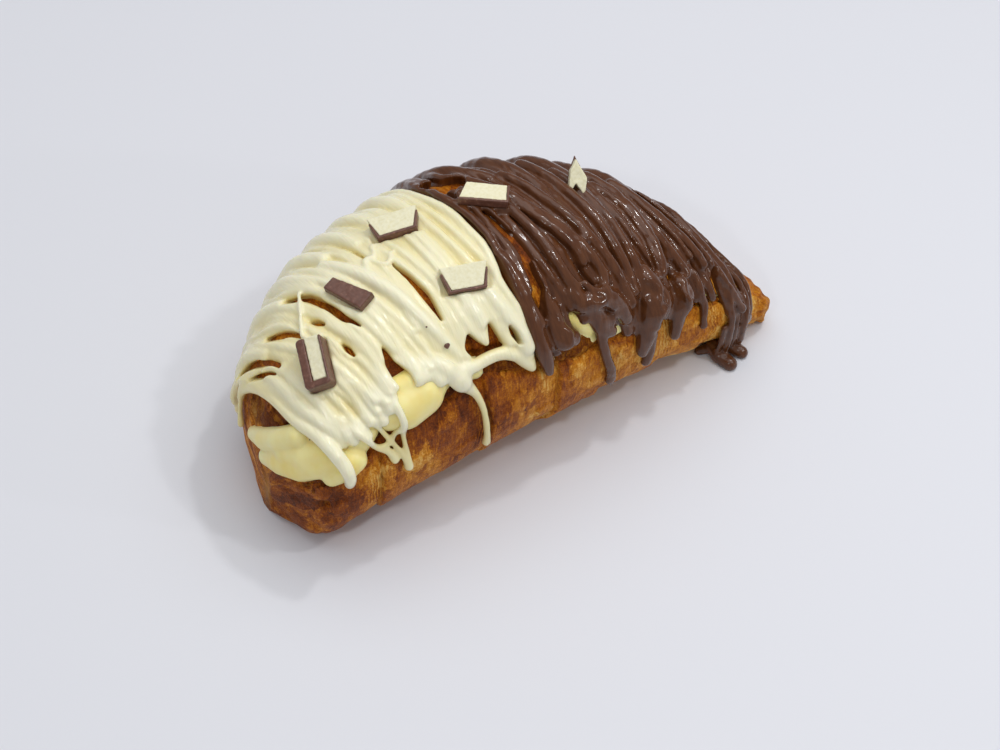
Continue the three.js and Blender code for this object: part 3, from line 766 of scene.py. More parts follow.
# %% Cream
FAN = [  # the blunt end's lobes, as rows of (x, y, z, radius)
    [(-93.6, 5.4, 24.8, 3.0), (-94.2, -2.6, 31.0, 4.0), (-93.2, -10.4, 38.6, 4.2),
     (-90.4, -16.0, 45.0, 3.8)],
    [(-94.6, -4.4, 24.4, 3.4), (-94.0, -12.5, 30.4, 4.6), (-91.4, -19.6, 34.4, 5.2),
     (-87.6, -24.2, 38.2, 5.2), (-83.6, -27, 41.6, 4.8)],
    [(-93.2, -7, 31, 3.6), (-91.9, -14, 35.4, 5.1), (-89.8, -20.4, 38.8, 5.3),
     (-86, -24, 43, 4.5)],
    [(-86, -29.0, 36.0, 3.4), (-82.5, -31, 39.5, 4.0), (-79.5, -31, 42, 4.2)],
]
# (y, z) of the lid's lower edge at the end
LID_FOOT = [(-50, 60), (-15, 48), (-1.2, 35), (10.2, 23.2), (16.8, 21)]
LOBES = [  # lobes further along, as rows of (x, angle, height over the crust, radius)
    [(-77.6, 53.5, -2.2, 4.2), (-75.3, 50.5, -1.4, 4.8), (-72, 48, -2.4, 4.6)],
    [(-66.4, 44.5, -2.0, 4.6), (-64.2, 50.5, -1.6, 6.4), (-59.5, 53, -1.6, 7.6),
     (-53, 52.5, -1.6, 7.4), (-47.5, 50, -2.0, 5.6)],
    [(-62.5, 43.5, -1.2, 4.2), (-56, 45.5, -0.8, 5.0), (-50.5, 46, -1.2, 4.6)],
    [(-41, 53, -3.2, 4.6), (-34, 56, -3.4, 4.2)],
    [(3.0, 54, -1.4, 2.8), (5.6, 58, -1.0, 3.2), (8.4, 62, -1.4, 2.8)],
    [(34, 60, -2.5, 4.5), (44, 60, -2.5, 4.5)],
]
CREAM_RECESS, CLOSED_RECESS = 0.2, 2.6  # how far below the crust the fill stays
CREAM_STEP = 0.65


def spots_on_skin(spots):
    """Points for rows of x, angle and height over the skin."""
    spots = np.asarray(spots, float)
    return bare(spots[:, 0], spots[:, 1]) + outward(spots[:, 0], spots[:, 1]) * spots[:, 2:3]


CREAM_CHAINS = [(np.array(lobe)[:, :3], np.array(lobe)[:, 3]) for lobe in FAN]
CREAM_CHAINS += [(spots_on_skin(lobe), np.array(lobe)[:, 3]) for lobe in LOBES]


def cream_distance(points):
    """Distance from the lobes of cream."""
    best = np.full(points.shape[:-1], FAR_AWAY)
    for centres, radii in CREAM_CHAINS:
        for a, b, ra, rb in zip(centres[:-1], centres[1:], radii[:-1], radii[1:]):
            t = np.clip((points - a) @ (b - a) / ((b - a) @ (b - a)), 0, 1)
            gap = np.linalg.norm(points - a - t[..., None] * (b - a), axis=-1)
            best = np.minimum(best, gap - (ra + (rb - ra) * t))
    return best


def wedge_distance(points):
    """Distance from the wedge that the baker cut, negative inside it."""
    xs = points[:, 0, 0, 0]
    y, z = points[..., 1], points[..., 2]
    low_angle, high_angle = lips(xs)
    low, high = bare(xs, low_angle), bare(xs, high_angle)
    inner_y = along(MOUTH, 3, xs)
    inner_z = (low[:, 2] + high[:, 2]) / 2 - INNER_HEIGHT / 2
    result = y - inner_y[:, None, None]
    half = INNER_HEIGHT / 2
    for lip, base_z, sign in ((low, inner_z - half, -1), (high, inner_z + half, 1)):
        run = unit(np.stack([lip[:, 1] - inner_y, lip[:, 2] - base_z], -1))
        off_y, off_z = y - inner_y[:, None, None], z - base_z[:, None, None]
        over = off_y * run[:, 1, None, None] - off_z * run[:, 0, None, None]
        result = np.maximum(result, sign * over)
    result = np.where(xs[:, None, None] < END_X, END_Z - z, result)
    return np.maximum(result, xs[:, None, None] - MOUTH[-1, 0])


def make_cream():
    """Fills the wedge, adds the lobes, and keeps the cream out of the solid crust."""
    volume = Volume((-103, -42, 14), (71, 24, 66), CREAM_STEP)
    points = volume.points()
    depth = depth_of(points)
    wedge = wedge_distance(points)
    closed = ramp(points[..., 0], -40, -36) * ramp(-points[..., 0], 10, 14)
    wavy = CREAM_RECESS + 0.4 * noise(points, 9, 60) + CLOSED_RECESS * closed
    fill = -melt(-(wedge + 0.4), -(depth + wavy), 2.0)
    foot_y, foot_z = np.array(LID_FOOT).T
    under_lid = points[..., 2] - np.interp(points[..., 1], foot_y, foot_z)
    fill = np.where(points[..., 0] < END_X + 2.5, np.maximum(fill, 0.7 * under_lid + 0.8), fill)
    volume.field = fill.astype(np.float32)
    for centres, radii in CREAM_CHAINS:
        volume.stroke(centres, radii, 0.6)
    crust_body = np.maximum(depth, -wedge)
    buried = -(crust_body + 1.6)
    volume.field = np.maximum(volume.field, buried)
    volume.field += 0.12 * noise(points, 5, 61)
    return volume.mesh("pastry_cream")


cream = make_cream()
print("cream faces:", len(cream.data.polygons))

# %% [markdown]
# **Pastry cream.** Egg yolk and butter make it pale yellow, and it lets some light in, so its
# shadows glow. It is smooth and wet, with a soft wide shine. It is a little uneven, in clouds about
# a centimetre across. The cut faces of the bar are cloudy too, at a finer size, so one function
# makes such clouds.


# %% Cream material
def clouds(material, size, detail, strength, height):
    """A cloudy pattern of a size in mm, and the bump that it makes up to a height in mm."""
    place = add_node(material, "ShaderNodeTexCoord").outputs["Object"]
    pattern = add_node(material, "ShaderNodeTexNoise", links={"Vector": place},
                       values={"Scale": 1 / (size * MM), "Detail": detail}).outputs["Fac"]
    bump = add_node(material, "ShaderNodeBump", links={"Height": pattern},
                    values={"Strength": strength, "Distance": height * MM})
    return pattern, bump.outputs[0]


CREAM_GLOW = 3  # millimetres that light goes into it

pastry_cream = new_material("pastry_cream")
cloud, bump = clouds(pastry_cream, 11.111, 3, 0.25, 0.6)
colour = add_node(pastry_cream, "ShaderNodeValToRGB", links={"Fac": cloud},
                  steps=[(0.3, 0xF3DC7E), (0.7, 0xFAEEAE)]).outputs[0]
finish(pastry_cream, {
    "Roughness": 0.34, "IOR": 1.42, "Subsurface Weight": 0.4,
    "Subsurface Radius": (1.0, 0.75, 0.35), "Subsurface Scale": CREAM_GLOW * MM},
    {"Base Color": colour, "Normal": bump})
cream.data.materials.append(pastry_cream)
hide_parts("cream_filling")
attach(cream, "root")
print("light goes", CREAM_GLOW, "mm into the cream")

# %% [markdown]
# ## Chocolate strands
#
# Melted chocolate is poured to and fro across the croissant. Each pass lays a strand over the
# crown, strands melt together while they are warm, and now and then they part and leave a slot
# where the crust shows. A strand is given by where it crosses the crown. It bends away from every
# slot and drapes over the cream.

# %% Strands
SLOTS = [  # rows of (x, angle, half width)
    [(-88.9, -56, 0.5), (-86.6, -32, 1.0), (-84.3, -9, 0.5)],
    [(-89.7, -37, 0.3), (-88.2, -22, 0.8), (-86, -9, 0.3)],
    [(-81, -33, 0.5), (-78.2, -20, 1.1), (-75.4, -7, 0.5)],
    [(-70.6, -34, 0.4), (-67, -19, 1.0), (-65.2, -7, 1.1), (-63.5, 3, 0.9), (-61, 11, 0.4)],
    [(-71.5, -9, 0.3), (-70, -5, 0.8), (-68.5, -1, 0.3)],
    [(-68.2, 10, 0.3), (-67.6, 14.5, 0.9), (-67, 19, 0.4)],
    [(-42.4, -2, 0.3), (-40.6, 8, 0.8), (-39.4, 18, 1.1), (-38.8, 30, 0.4)],
    [(-58.8, 25, 0.4), (-59, 33, 1.4), (-57.6, 40, 2.4), (-57, 44, 1.8)],
    [(-33.2, 41, 0.6), (-33.4, 45.5, 2.2), (-31, 50.5, 2.4), (-28.6, 52.5, 2.2),
     (-25.8, 50.5, 2.2), (-25.4, 41, 0.4)],
    [(-19.9, 45, 0.3), (-19.2, 49, 0.9), (-18.3, 53.5, 0.5)],
    [(-13.4, -33, 1.6), (-11.0, -28, 3.0), (-8.0, -25, 3.6), (-5.4, -25, 2.2)],
    [(-8.4, -3, 0.4), (-7.0, 5, 0.9), (-6.1, 12, 1.1), (-5.5, 21, 1.1), (-6.2, 30, 1.3),
     (-6.6, 37, 1.8), (-8.2, 45, 0.7)],
    [(65.2, 20, 0.3), (64.2, 34, 0.5), (63.4, 46, 0.9), (63.8, 58, 1.4), (64.6, 68, 1.6),
     (65.0, 84, 1.8)],
    [(36.2, 21, 0.4), (36.8, 25, 0.9), (37.4, 29, 0.3)],
    [(56.0, 32, 0.4), (56.3, 38, 0.9), (56.5, 47, 0.5)],
]
PARTING_REACH = 4.0
SEAM = np.array([  # angle and x of the line where the two coats meet
    [-90, -24], [-24, -18.5], [-3, -14.7], [10, -13.4], [28, -15.6], [41, -13.8], [57, -15],
    [68, -13.4],
])
SLANT = np.array([  # x at the crown, and millimetres along it for each degree of turn
    [-96, 0.04], [-88, 0.09], [-80, 0.17], [-55, 0.19], [-42, 0.13], [-20, 0.1], [-6, 0.06],
    [8, 0.22], [20, 0.12], [40, 0.05], [52, 0.2], [62, 0.3],
])
DRAPE_STEP, DRAPE_REACH = 0.25, 10.0
FAR_LEAN = np.array([-0.35, -0.75, 0.0])
CARVE_LIFTS = np.arange(-2.4, 6, 0.7)


def slanted(x, angle):
    """x at an angle of a strand that crosses the crown at x."""
    return x + np.interp(x, SLANT[:, 0], SLANT[:, 1]) * angle


def parted(x, angle):
    """Moves places on strands away from the slots."""
    moved = np.array(x, float)
    for slot in SLOTS:
        slot_x, turns, half_wide = np.array(slot).T
        order = np.argsort(turns)
        off = x - np.interp(angle, turns[order], slot_x[order])
        ends = [turns.min() - 9, *turns[order], turns.max() + 9]
        wide = np.interp(angle, ends, [0, *half_wide[order], 0], left=0, right=0)
        moved += np.where(off >= 0, 1, -1) * wide * np.exp(-((off / PARTING_REACH) ** 2))
    return moved


def leaning(angle):
    """How a slot on the far side leans to the near side as it rises, where the strands slumped."""
    return ramp(-angle, 12, 30)[:, None] * FAR_LEAN


def carve_slots(volume):
    """Opens each slot down to the crust."""
    low, high = volume.axes[0][0], volume.axes[0][-1]
    for slot in SLOTS:
        if not low < slot[0][0] < high:
            continue
        row = np.linspace(0, len(slot) - 1, 5 * len(slot))
        x, angle, half_wide = (np.interp(row, np.arange(len(slot)), column)
                               for column in np.array(slot).T)
        for lift in CARVE_LIFTS:
            path = bare(x, angle) + outward(x, angle) * lift
            path += leaning(angle) * max(lift, 0)
            volume.carve(path, half_wide + 0.04 * lift, 0.5)


def cream_under(p, out):
    """How far out a strand has to go to clear the cream."""
    steps = np.arange(0, DRAPE_REACH, DRAPE_STEP)
    spots = p[:, None, :] + out[:, None, :] * steps[None, :, None]
    inside = cream_distance(spots) < 0
    return np.where(inside, steps, 0).max(-1)


def lay(x, angle, lift):
    """Points of a strand that lies on the crust and cream, at a height over them."""
    x, angle, lift = (np.asarray(v, float) for v in np.broadcast_arrays(x, angle, lift))
    p, out = bare(x, angle), outward(x, angle)
    under = np.maximum(relief(x, angle) * 0.6, cream_under(p, out))
    if len(under) > 4:
        padded = np.pad(under, 1, mode="edge")
        under = np.maximum(under, (padded[:-2] + padded[1:-1] + padded[2:]) / 3)
    return p + out * (under + lift)[:, None]


def crown_places(first, last, count):
    """Places along the crown, evenly spaced over its curve."""
    fine = np.linspace(first, last, 400)
    crown = bare(fine, np.zeros(400))
    arc = np.concatenate([[0], np.cumsum(np.linalg.norm(np.diff(crown, axis=0), axis=1))])
    return np.interp(np.linspace(0, arc[-1], count), arc, fine)


print("slots:", len(SLOTS))

# %% [markdown]
# ## Where the bar slices lie
#
# Slices of filled chocolate bar were pressed into the coats while these were soft. Each has a place
# on the roll, a height, a heading, a tilt and a size. The coats leave a bed for each slice and rise
# a little against its sides, so the places come before the coats.

# %% Places of the slices
BARS = {  # x, angle, lift, heading, tilt, long, deep, thick
    "bar_slice_left": (-33.5, -13, 3.6, -22, 12, 17, 8, 3),
    "bar_slice_mid": (-26.5, 21, 3.6, -16, 8, 16, 8, 3),
    "bar_slice_top": (-6, -5, 5.4, -35, 6, 16.5, 8, 3),
    "bar_end_chunk": (-76.5, 9, 4.6, 70, 0, 16.5, 8.5, 6),
    "bar_spire": (27.5, -6, 6.4, -32, 64, 7.2, 10.4, 2.4),
    "bar_chip": (-58.6, -1, 4, -64, 0, 16, 6.6, 3),
}


def stance(x, angle, lift, heading, tilt, *size):
    """The directions of a slice's length, depth and thickness as rows, and its middle."""
    out = outward(x, angle)
    up_way = unit(bare(x, angle - 1) - bare(x, angle + 1))
    ways = np.array([np.cross(up_way, out), up_way, out])
    turn, lean = math.radians(heading), math.radians(tilt)
    c, s = math.cos(turn), math.sin(turn)
    spin = np.array([[c, s, 0], [-s, c, 0], [0, 0, 1]])
    c, s = math.cos(lean), math.sin(lean)
    dip = np.array([[1, 0, 0], [0, c, s], [0, -s, c]])
    return dip @ spin @ ways, bare(x, angle) + out * lift


def press_slices(volume, names):
    """Raises the coat under each slice, then presses the slice's bed into it."""
    for name in names:
        ways, middle = stance(*BARS[name])
        long, deep, thick = BARS[name][5:]
        reach = long / 2 - 1.5
        for side in (-0.25, 0.25):
            ends = [middle + ways[0] * u + ways[1] * side * deep - ways[2] * (thick / 2 + 1.0)
                    for u in (-reach, reach)]
            volume.stroke(ends, 2.0, 1.4)
        corner = np.array([long, deep, thick]) @ np.abs(ways) / 2 + 1.5
        where, x, y, z = volume.window(middle - corner, middle + corner)
        offset = np.stack(np.broadcast_arrays(x, y, z), -1) - middle
        beyond = np.abs(offset @ ways.T) - np.array([long, deep, thick]) / 2 - 0.05
        box = beyond.max(-1)
        volume.field[where] = meet(volume.field[where], -box, 0.5)


print("slices:", len(BARS))

# %% [markdown]
# ## The white coat
#
# Fine strands about two and a half millimetres apart make the ribs. Thicker ropes over them make
# the broad waves. At the near side the strands end in round fingers, or run on as drips.

# %% White coat
WHITE_FEET = np.array([  # x, and the angle where the strands end there
    [-91, -25], [-89.5, 2], [-88, 18], [-85.7, 33], [-83, 45], [-80, 46], [-74, 48], [-70, 50],
    [-66, 45], [-61, 41], [-56, 42], [-50, 43], [-45, 50], [-40, 54], [-36, 52], [-31, 47],
    [-28, 46], [-25, 42], [-21, 48], [-17, 57], [-14, 62],
])
COAT_STEP = 0.5
COAT_TRIANGLES = 190000
WHITE_DRIPS = [  # rows of (x, angle, height over the crust, radius)
    [(-91.9, -62, 1.0, 1.3), (-91.3, -34, 1.2, 1.5), (-90.4, -13, 1.4, 1.7),
     (-89.4, 3.8, 1.6, 2.0), (-88.3, 18, 1.8, 2.2), (-86.2, 31, 1.8, 2.4), (-84.4, 42, 1.8, 2.4),
     (-83.0, 52, 1.6, 2.4), (-82.4, 60, 1.3, 2.1), (-82.7, 67, 1.0, 1.8)],
    [(-88, -20, 1.2, 1.8), (-86.6, 0, 1.7, 2.2), (-85.8, 15, 2.0, 2.3), (-83.6, 29, 2.0, 2.3),
     (-81.4, 40, 1.8, 2.2), (-80.6, 47, 1.4, 1.8)],
    [(-84, 0, 1.4, 1.8), (-82, 16, 1.7, 2.0), (-81.4, 28, 1.7, 2.1), (-79.6, 40, 1.6, 2.0),
     (-78.4, 46, 1.2, 1.8)],
    [(-57.5, -24, 1.6, 1.9), (-55.2, -16, 2.0, 2.2), (-50.6, -1, 2.3, 2.4),
     (-47.3, 10, 2.3, 2.3), (-44.6, 23, 2.2, 2.2), (-41.4, 36, 1.9, 2.0), (-38.6, 46, 1.6, 1.8)],
    [(-30.5, 30, 1.2, 2.0), (-29.5, 40, 1.2, 2.0), (-28.9, 46.5, 1.0, 2.1)],
    [(-22.5, 22, 1.4, 2.4), (-20.8, 34, 1.4, 2.7), (-18.6, 44, 1.4, 3.0), (-17.0, 52, 1.4, 3.2),
     (-16.4, 57, 1.3, 3.1)],
    [(-26, 28, 1.2, 1.9), (-24.6, 37, 1.0, 1.9), (-23.2, 44, 1.0, 1.8), (-21, 52, 1.0, 1.9)],
]
WHITE_ARMS = [  # the two thick ones that hang over the slots
    [(-46, 44, 1.5, 2.6), (-43.2, 50, 1.7, 3.2), (-40.5, 56, 1.6, 3.3), (-38.6, 60, 1.2, 2.3),
     (-36.2, 66, 0.9, 1.4), (-34.6, 74, 0.9, 1.15), (-33.9, 83, 0.9, 1.1), (-33.4, 92, 0.9, 1.2),
     (-33.3, 97, 0.8, 1.5)],
    [(-39, 52, 1.4, 2.4), (-34, 53.5, 1.2, 2.1), (-30.5, 53.5, 1.2, 2.1), (-25, 54.5, 1.1, 2.2),
     (-20.6, 58, 1.0, 2.2), (-17.6, 63, 0.9, 2.1), (-15.4, 67.5, 0.8, 1.4)],
]
WHITE_STRINGS = [  # thin ones, most of them on the near side or on top
    [(-79, 36, 1.6, 1.9), (-77, 43, 1.4, 1.6), (-74.3, 52, 1.1, 1.15), (-72.1, 60, 0.9, 1.0),
     (-68.5, 67, 0.9, 1.25), (-66.9, 73.5, 0.8, 1.5)],
    [(-72.5, 43, 1.4, 1.3), (-69.9, 51, 1.1, 1.0), (-67.5, 61, 0.8, 0.95), (-65.3, 69, 0.8, 0.9),
     (-63.7, 76, 0.8, 1.1), (-62.6, 82, 0.8, 1.45)],
    [(-63.4, 37, 1.4, 1.4), (-63.1, 46, 1.2, 1.3), (-62.8, 57.5, 1.0, 1.2),
     (-65.3, 60.5, 0.9, 0.95), (-67.5, 63, 0.9, 0.9), (-71.0, 62, 0.9, 1.0)],
    [(-62.7, 57, 1.0, 1.05), (-62.8, 67, 0.8, 0.9), (-62.6, 75, 0.8, 1.05),
     (-62.6, 82.5, 0.8, 1.5)],
    [(-67.7, -23.0, 3.3, 0.75), (-69.9, -17.4, 3.3, 0.75), (-72.6, -11.4, 3.3, 0.75),
     (-75.1, -5.8, 3.3, 0.75)],
    [(-43.3, -12, 2.4, 0.9), (-45, -7, 2.6, 1.0), (-48, -8, 2.7, 1.1), (-49.4, -3.4, 2.7, 1.1),
     (-51.7, -2.2, 2.5, 1.0)],
    [(-50, -3, 2.4, 0.9), (-47.9, 5, 2.5, 1.0), (-46, 8, 2.3, 0.9)],
    [(-40, -4, 2.5, 0.8), (-43.5, -1, 2.7, 0.9), (-46.5, -6, 2.6, 0.8)],
    [(-47.6, 18.6, 2.2, 1.0), (-46.8, 27.4, 2.2, 1.0), (-48.7, 26.6, 2.2, 0.9)],
    [(-90.8, -40, 1.6, 1.5), (-91.6, -53, 1.6, 1.2), (-92.4, -62, 1.3, 0.9),
     (-93.2, -73, 1.2, 1.0), (-93.6, -79, 1.2, 1.25)],
]
FAR_ROPES = [  # thick ones down the far side
    [(-88, -66, 1.0, 2.0), (-86.6, -46, 1.6, 2.2), (-84.6, -26, 1.2, 1.8)],
    [(-79, -70, 1.0, 2.2), (-76, -50, 1.8, 2.6), (-72.4, -30, 1.6, 2.2), (-70, -14, 1.0, 1.4)],
    [(-70, -70, 1.0, 2.2), (-66.4, -44, 1.8, 2.6), (-63.4, -20, 1.4, 2.0)],
    [(-62, -70, 1.0, 2.4), (-59, -48, 2.0, 2.8), (-55.5, -28, 1.6, 2.2)],
    [(-52, -70, 1.0, 2.2), (-49, -46, 1.8, 2.6), (-45.7, -20, 1.4, 2.0)],
    [(-42, -70, 1.0, 2.2), (-39.5, -46, 1.7, 2.6), (-37, -26, 1.4, 2.0)],
    [(-31, -70, 1.0, 2.2), (-28, -44, 1.7, 2.6), (-26, -20, 1.4, 1.8)],
]


def add_strands(volume, places, feet, radius, lift, seed, start=-92.0, side=-1, blend=0.9,
                scatter=4.0, ends=1.0, wander=1.0, jitter=0.4, cut=False):
    """Lays, or cuts, strands over the crown, each with its own wander, thickness and ends."""
    chance = np.random.RandomState(seed)
    for x in places:
        foot = 40.0
        for _ in range(3):
            foot = np.interp(slanted(x, foot), feet[:, 0], feet[:, 1])
        foot += scatter * chance.uniform(-1, 1)
        top = start + 14 * chance.uniform(-1, 1)
        r = radius * chance.uniform(0.82, 1.22)
        high = lift + jitter * chance.uniform(-1, 1)
        angles = np.linspace(top, foot, max(5, int((foot - top) / 4)))
        phase, swing = chance.uniform(0, 6.3, 2)
        xs = slanted(x, np.maximum(angles, -45)) + wander * (
            0.7 * np.sin(np.radians(angles) * 2.2 + phase)
            + 0.45 * np.sin(np.radians(angles) * 5 + swing))
        xs = parted(xs, angles)
        clear = np.interp(angles, SEAM[:, 0], SEAM[:, 1]) + side * (r * 0.9 + 0.1)
        xs = np.minimum(xs, clear) if side < 0 else np.maximum(xs, clear)
        xs = np.maximum(xs, -91.5 + r)
        spots = np.stack([angles * DEGREE, np.full(len(angles), x)], -1)
        radii = r * (1 + 0.15 * noise(spots, 8, seed))
        radii[-1] *= ends
        path = lay(xs, angles, high + jitter * noise(spots, 12, seed + 1))
        (volume.carve if cut else volume.stroke)(path, radii, blend)


def add_drips(volume, drips, blend=0.9):
    """Lays drips, each a smooth curve through rows of (x, angle, height, radius)."""
    for drip in drips:
        drip = np.array(drip, float)
        t = np.linspace(0, 1, len(drip))
        fine = np.linspace(0, 1, 4 * len(drip))
        table = np.column_stack([t, drip])
        x, angle, lift, radius = (along(table, k, fine) for k in range(1, 5))
        volume.stroke(lay(x, angle, lift), radius, blend)


def coat_mesh(volume, name, waves):
    """The coat's mesh, made wavy, with its height over the crust stored for the material."""
    below = -(volume.axes[2] - 0.02)[None, None, :]
    volume.field = np.maximum(volume.field, below).astype(np.float32)
    piece = volume.mesh(name, soften=1)
    p = points_of(piece)
    out = np.empty(len(p) * 3, np.float32)
    piece.data.vertex_normals.foreach_get("vector", out)
    swell = waves * (noise(p, 2.3, 50) + noise(p, 5, 51))
    p += out.reshape(-1, 3) * swell[:, None] * ramp(p[:, 2:], 1, 4)
    piece.data.vertices.foreach_set("co", (p * MM).astype(np.float32).ravel())
    piece.data.update()
    lighten(piece, COAT_TRIANGLES)
    p = points_of(piece)
    paint(piece, "height", depth_of(p))
    angle, _ = roll_of(p)
    paint(piece, "grain", np.stack([p[:, 0], angle * DEGREE, np.zeros(len(p))], -1))
    print(name, "faces:", len(piece.data.polygons))
    return piece


def make_white():
    """The white coat: ribs, ropes and drips, then the slots, then what hangs over them."""
    volume = Volume((-105, -44, 12), (-9, 60, 84), COAT_STEP)
    add_strands(volume, crown_places(-90, -15, 27), WHITE_FEET, 2.0, 0.0, 21, blend=1.3)
    ribs = WHITE_FEET - [0, 3]
    add_strands(volume, crown_places(-89, -15.5, 34), ribs, 1.35, 1.55, 22, start=-84,
                blend=0.55, scatter=3, ends=1.1, jitter=0.55)
    add_drips(volume, FAR_ROPES, 1.2)
    add_drips(volume, WHITE_DRIPS, 0.8)
    carve_slots(volume)
    add_drips(volume, WHITE_ARMS, 0.8)
    add_drips(volume, WHITE_STRINGS, 0.45)
    press_slices(volume, ["bar_slice_left", "bar_slice_mid", "bar_end_chunk", "bar_chip"])
    return coat_mesh(volume, "white_coat", 0.07)


white = make_white()

# %% [markdown]
# ** White chocolate.** Cocoa butter and milk, with no cocoa solids: ivory, a little waxy, and light
# goes some way into it. It is satin once set. The valleys are painted darker and yellower: painted
# shade and bounce light, and there the coat is also thin enough to take some colour from the crust.
# The pour leaves fine lines along the strands, about a millimetre wide, on both kinds of chocolate.


# %% White chocolate material
def pour_lines(material, wide, long, strength):
    """Lines of a size in mm along the strands, and the bump that they make."""
    grain = add_node(material, "ShaderNodeAttribute", attribute_name="grain").outputs["Vector"]
    sized = add_node(material, "ShaderNodeVectorMath", operation="DIVIDE", links={0: grain},
                     values={1: (wide, long, 1)}).outputs[0]
    lines = add_node(material, "ShaderNodeTexNoise", links={"Vector": sized},
                     values={"Scale": 1, "Detail": 2}).outputs["Fac"]
    bump = add_node(material, "ShaderNodeBump", links={"Height": lines},
                    values={"Strength": strength, "Distance": 0.5 * MM})
    return lines, bump.outputs[0]


THIN, THICK = 0.6, 4.0  # heights of the coat's surface over the crust, in millimetres
WHITE_GLOW = 2  # millimetres that light goes into it
# the low steps are painted shade and bounce light in the valleys, over the coat's own ivory
WHITE_COLOURS_WITH_VALLEY_SHADE = [(0.0, 0xE0CB86), (0.35, 0xEBDFA8), (0.7, 0xF0E9C3), (1.0, 0xF3EECF)]

white_chocolate = new_material("white_chocolate")
_, bump = pour_lines(white_chocolate, 0.90909, 7.6923, 0.45)
height = add_node(white_chocolate, "ShaderNodeAttribute", attribute_name="height").outputs["Fac"]
# painted shade and bounce light: darker and yellower where the coat lies low in the valleys
tone = add_node(white_chocolate, "ShaderNodeMapRange", links={"Value": height},
                values={"From Min": THIN, "From Max": THICK}).outputs[0]
colour = add_node(white_chocolate, "ShaderNodeValToRGB", links={"Fac": tone},
                  steps=WHITE_COLOURS_WITH_VALLEY_SHADE).outputs[0]
finish(white_chocolate, {
    "Roughness": 0.22, "IOR": 1.46, "Subsurface Weight": 0.3,
    "Subsurface Radius": (1.0, 0.8, 0.45), "Subsurface Scale": WHITE_GLOW * MM},
    {"Base Color": colour, "Normal": bump})
white.data.materials.append(white_chocolate)
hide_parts("white_chocolate_coat")
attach(white, "root")
print("light goes", WHITE_GLOW, "mm into the white chocolate")

# %% [markdown]
# ## The milk coat
#
# The milk chocolate is thicker and was poured later, so its strands lie in two layers. The lower
# layer covers the crust. The upper strands stop half-way down in round ends. At the thin tip a
# bundle of strands runs right down to the surface and spreads there in short fingers.

# %% Milk coat
MILK_FEET = np.array([
    [-13, 70], [-8, 62], [-3, 63], [1, 63], [4, 55], [9, 56], [13, 61], [18, 64], [24, 68],
    [30, 74], [34, 70], [40, 66], [46, 62], [52, 58], [57, 52], [61, 52], [63, 66], [65, 84],
    [80, 84],
])
UPPER_FEET = np.array([
    [-13, 55], [-8, 40], [0, 50], [4.6, 41], [9.5, 30], [13.8, 44], [18, 26], [22, 54], [26, 54],
    [31, 54], [36, 42], [42, 48], [48, 40], [56, 28], [62, 30], [65, 60], [80, 70],
])
MILK_DRIPS = [  # pools and drips, nearly all on the near side
    [(-11.4, 20, 1.2, 2.2), (-11.6, 35, 1.3, 2.6), (-11.8, 50, 1.4, 2.9), (-11.2, 60, 1.4, 2.8),
     (-10.2, 68, 1.2, 2.3), (-9.6, 73, 0.9, 1.6)],
    [(-4, 46, 1.2, 2.6), (-4.6, 55, 1.4, 3.4), (-3.4, 61, 1.4, 3.6), (0.2, 62, 1.2, 3.0)],
    [(4.5, 43, 2.2, 2.6), (6.5, 48.5, 2.2, 3.6), (11.4, 49, 2.2, 3.9), (16.5, 50, 2.0, 3.6),
     (20, 56, 1.8, 3.4), (22.5, 62, 1.4, 2.6)],
    [(9, 52, 1.6, 3.2), (12, 58, 1.4, 3.0), (15.5, 60, 1.2, 2.8)],
    [(9.8, 56, 1.3, 2.8), (12.2, 63, 1.1, 2.8), (15.6, 66, 0.9, 2.4)],
    [(11.8, 58, 1.2, 2.2), (11.6, 66, 0.9, 1.9), (12.6, 76, 0.9, 1.8), (15, 88.5, 0.8, 1.7),
     (16, 97, 0.6, 1.9)],
    [(33, 42, 2.4, 2.8), (33.9, 50, 3.0, 3.9), (32.6, 57, 2.4, 4.0), (31.6, 65, 1.8, 4.2),
     (30, 74, 1.4, 3.5), (29.0, 82, 1.0, 2.6), (28.8, 86, 0.9, 2.0)],
    [(37, 47, 2.0, 2.6), (37.5, 55, 1.6, 3.0), (36.5, 64, 1.2, 2.6)],
    [(33.5, 70, 0.8, 2.2), (32.6, 84, 0.6, 2.0), (31.6, 96, 0.4, 1.9)],
    [(47, 50, 1.6, 3.4), (46.8, 58, 1.5, 4.0), (44.6, 67, 1.2, 3.4), (43.6, 76, 1.0, 2.5),
     (43.2, 82.5, 0.8, 2.0)],
    [(55, 44, 1.2, 2.0), (55.6, 56, 1.0, 1.7), (56.3, 65, 0.9, 1.4), (55.6, 74, 0.9, 1.3),
     (55.4, 80, 0.8, 1.6)],
    [(18, 14, 2.6, 1.9), (17.6, 22, 2.8, 2.1)],
]
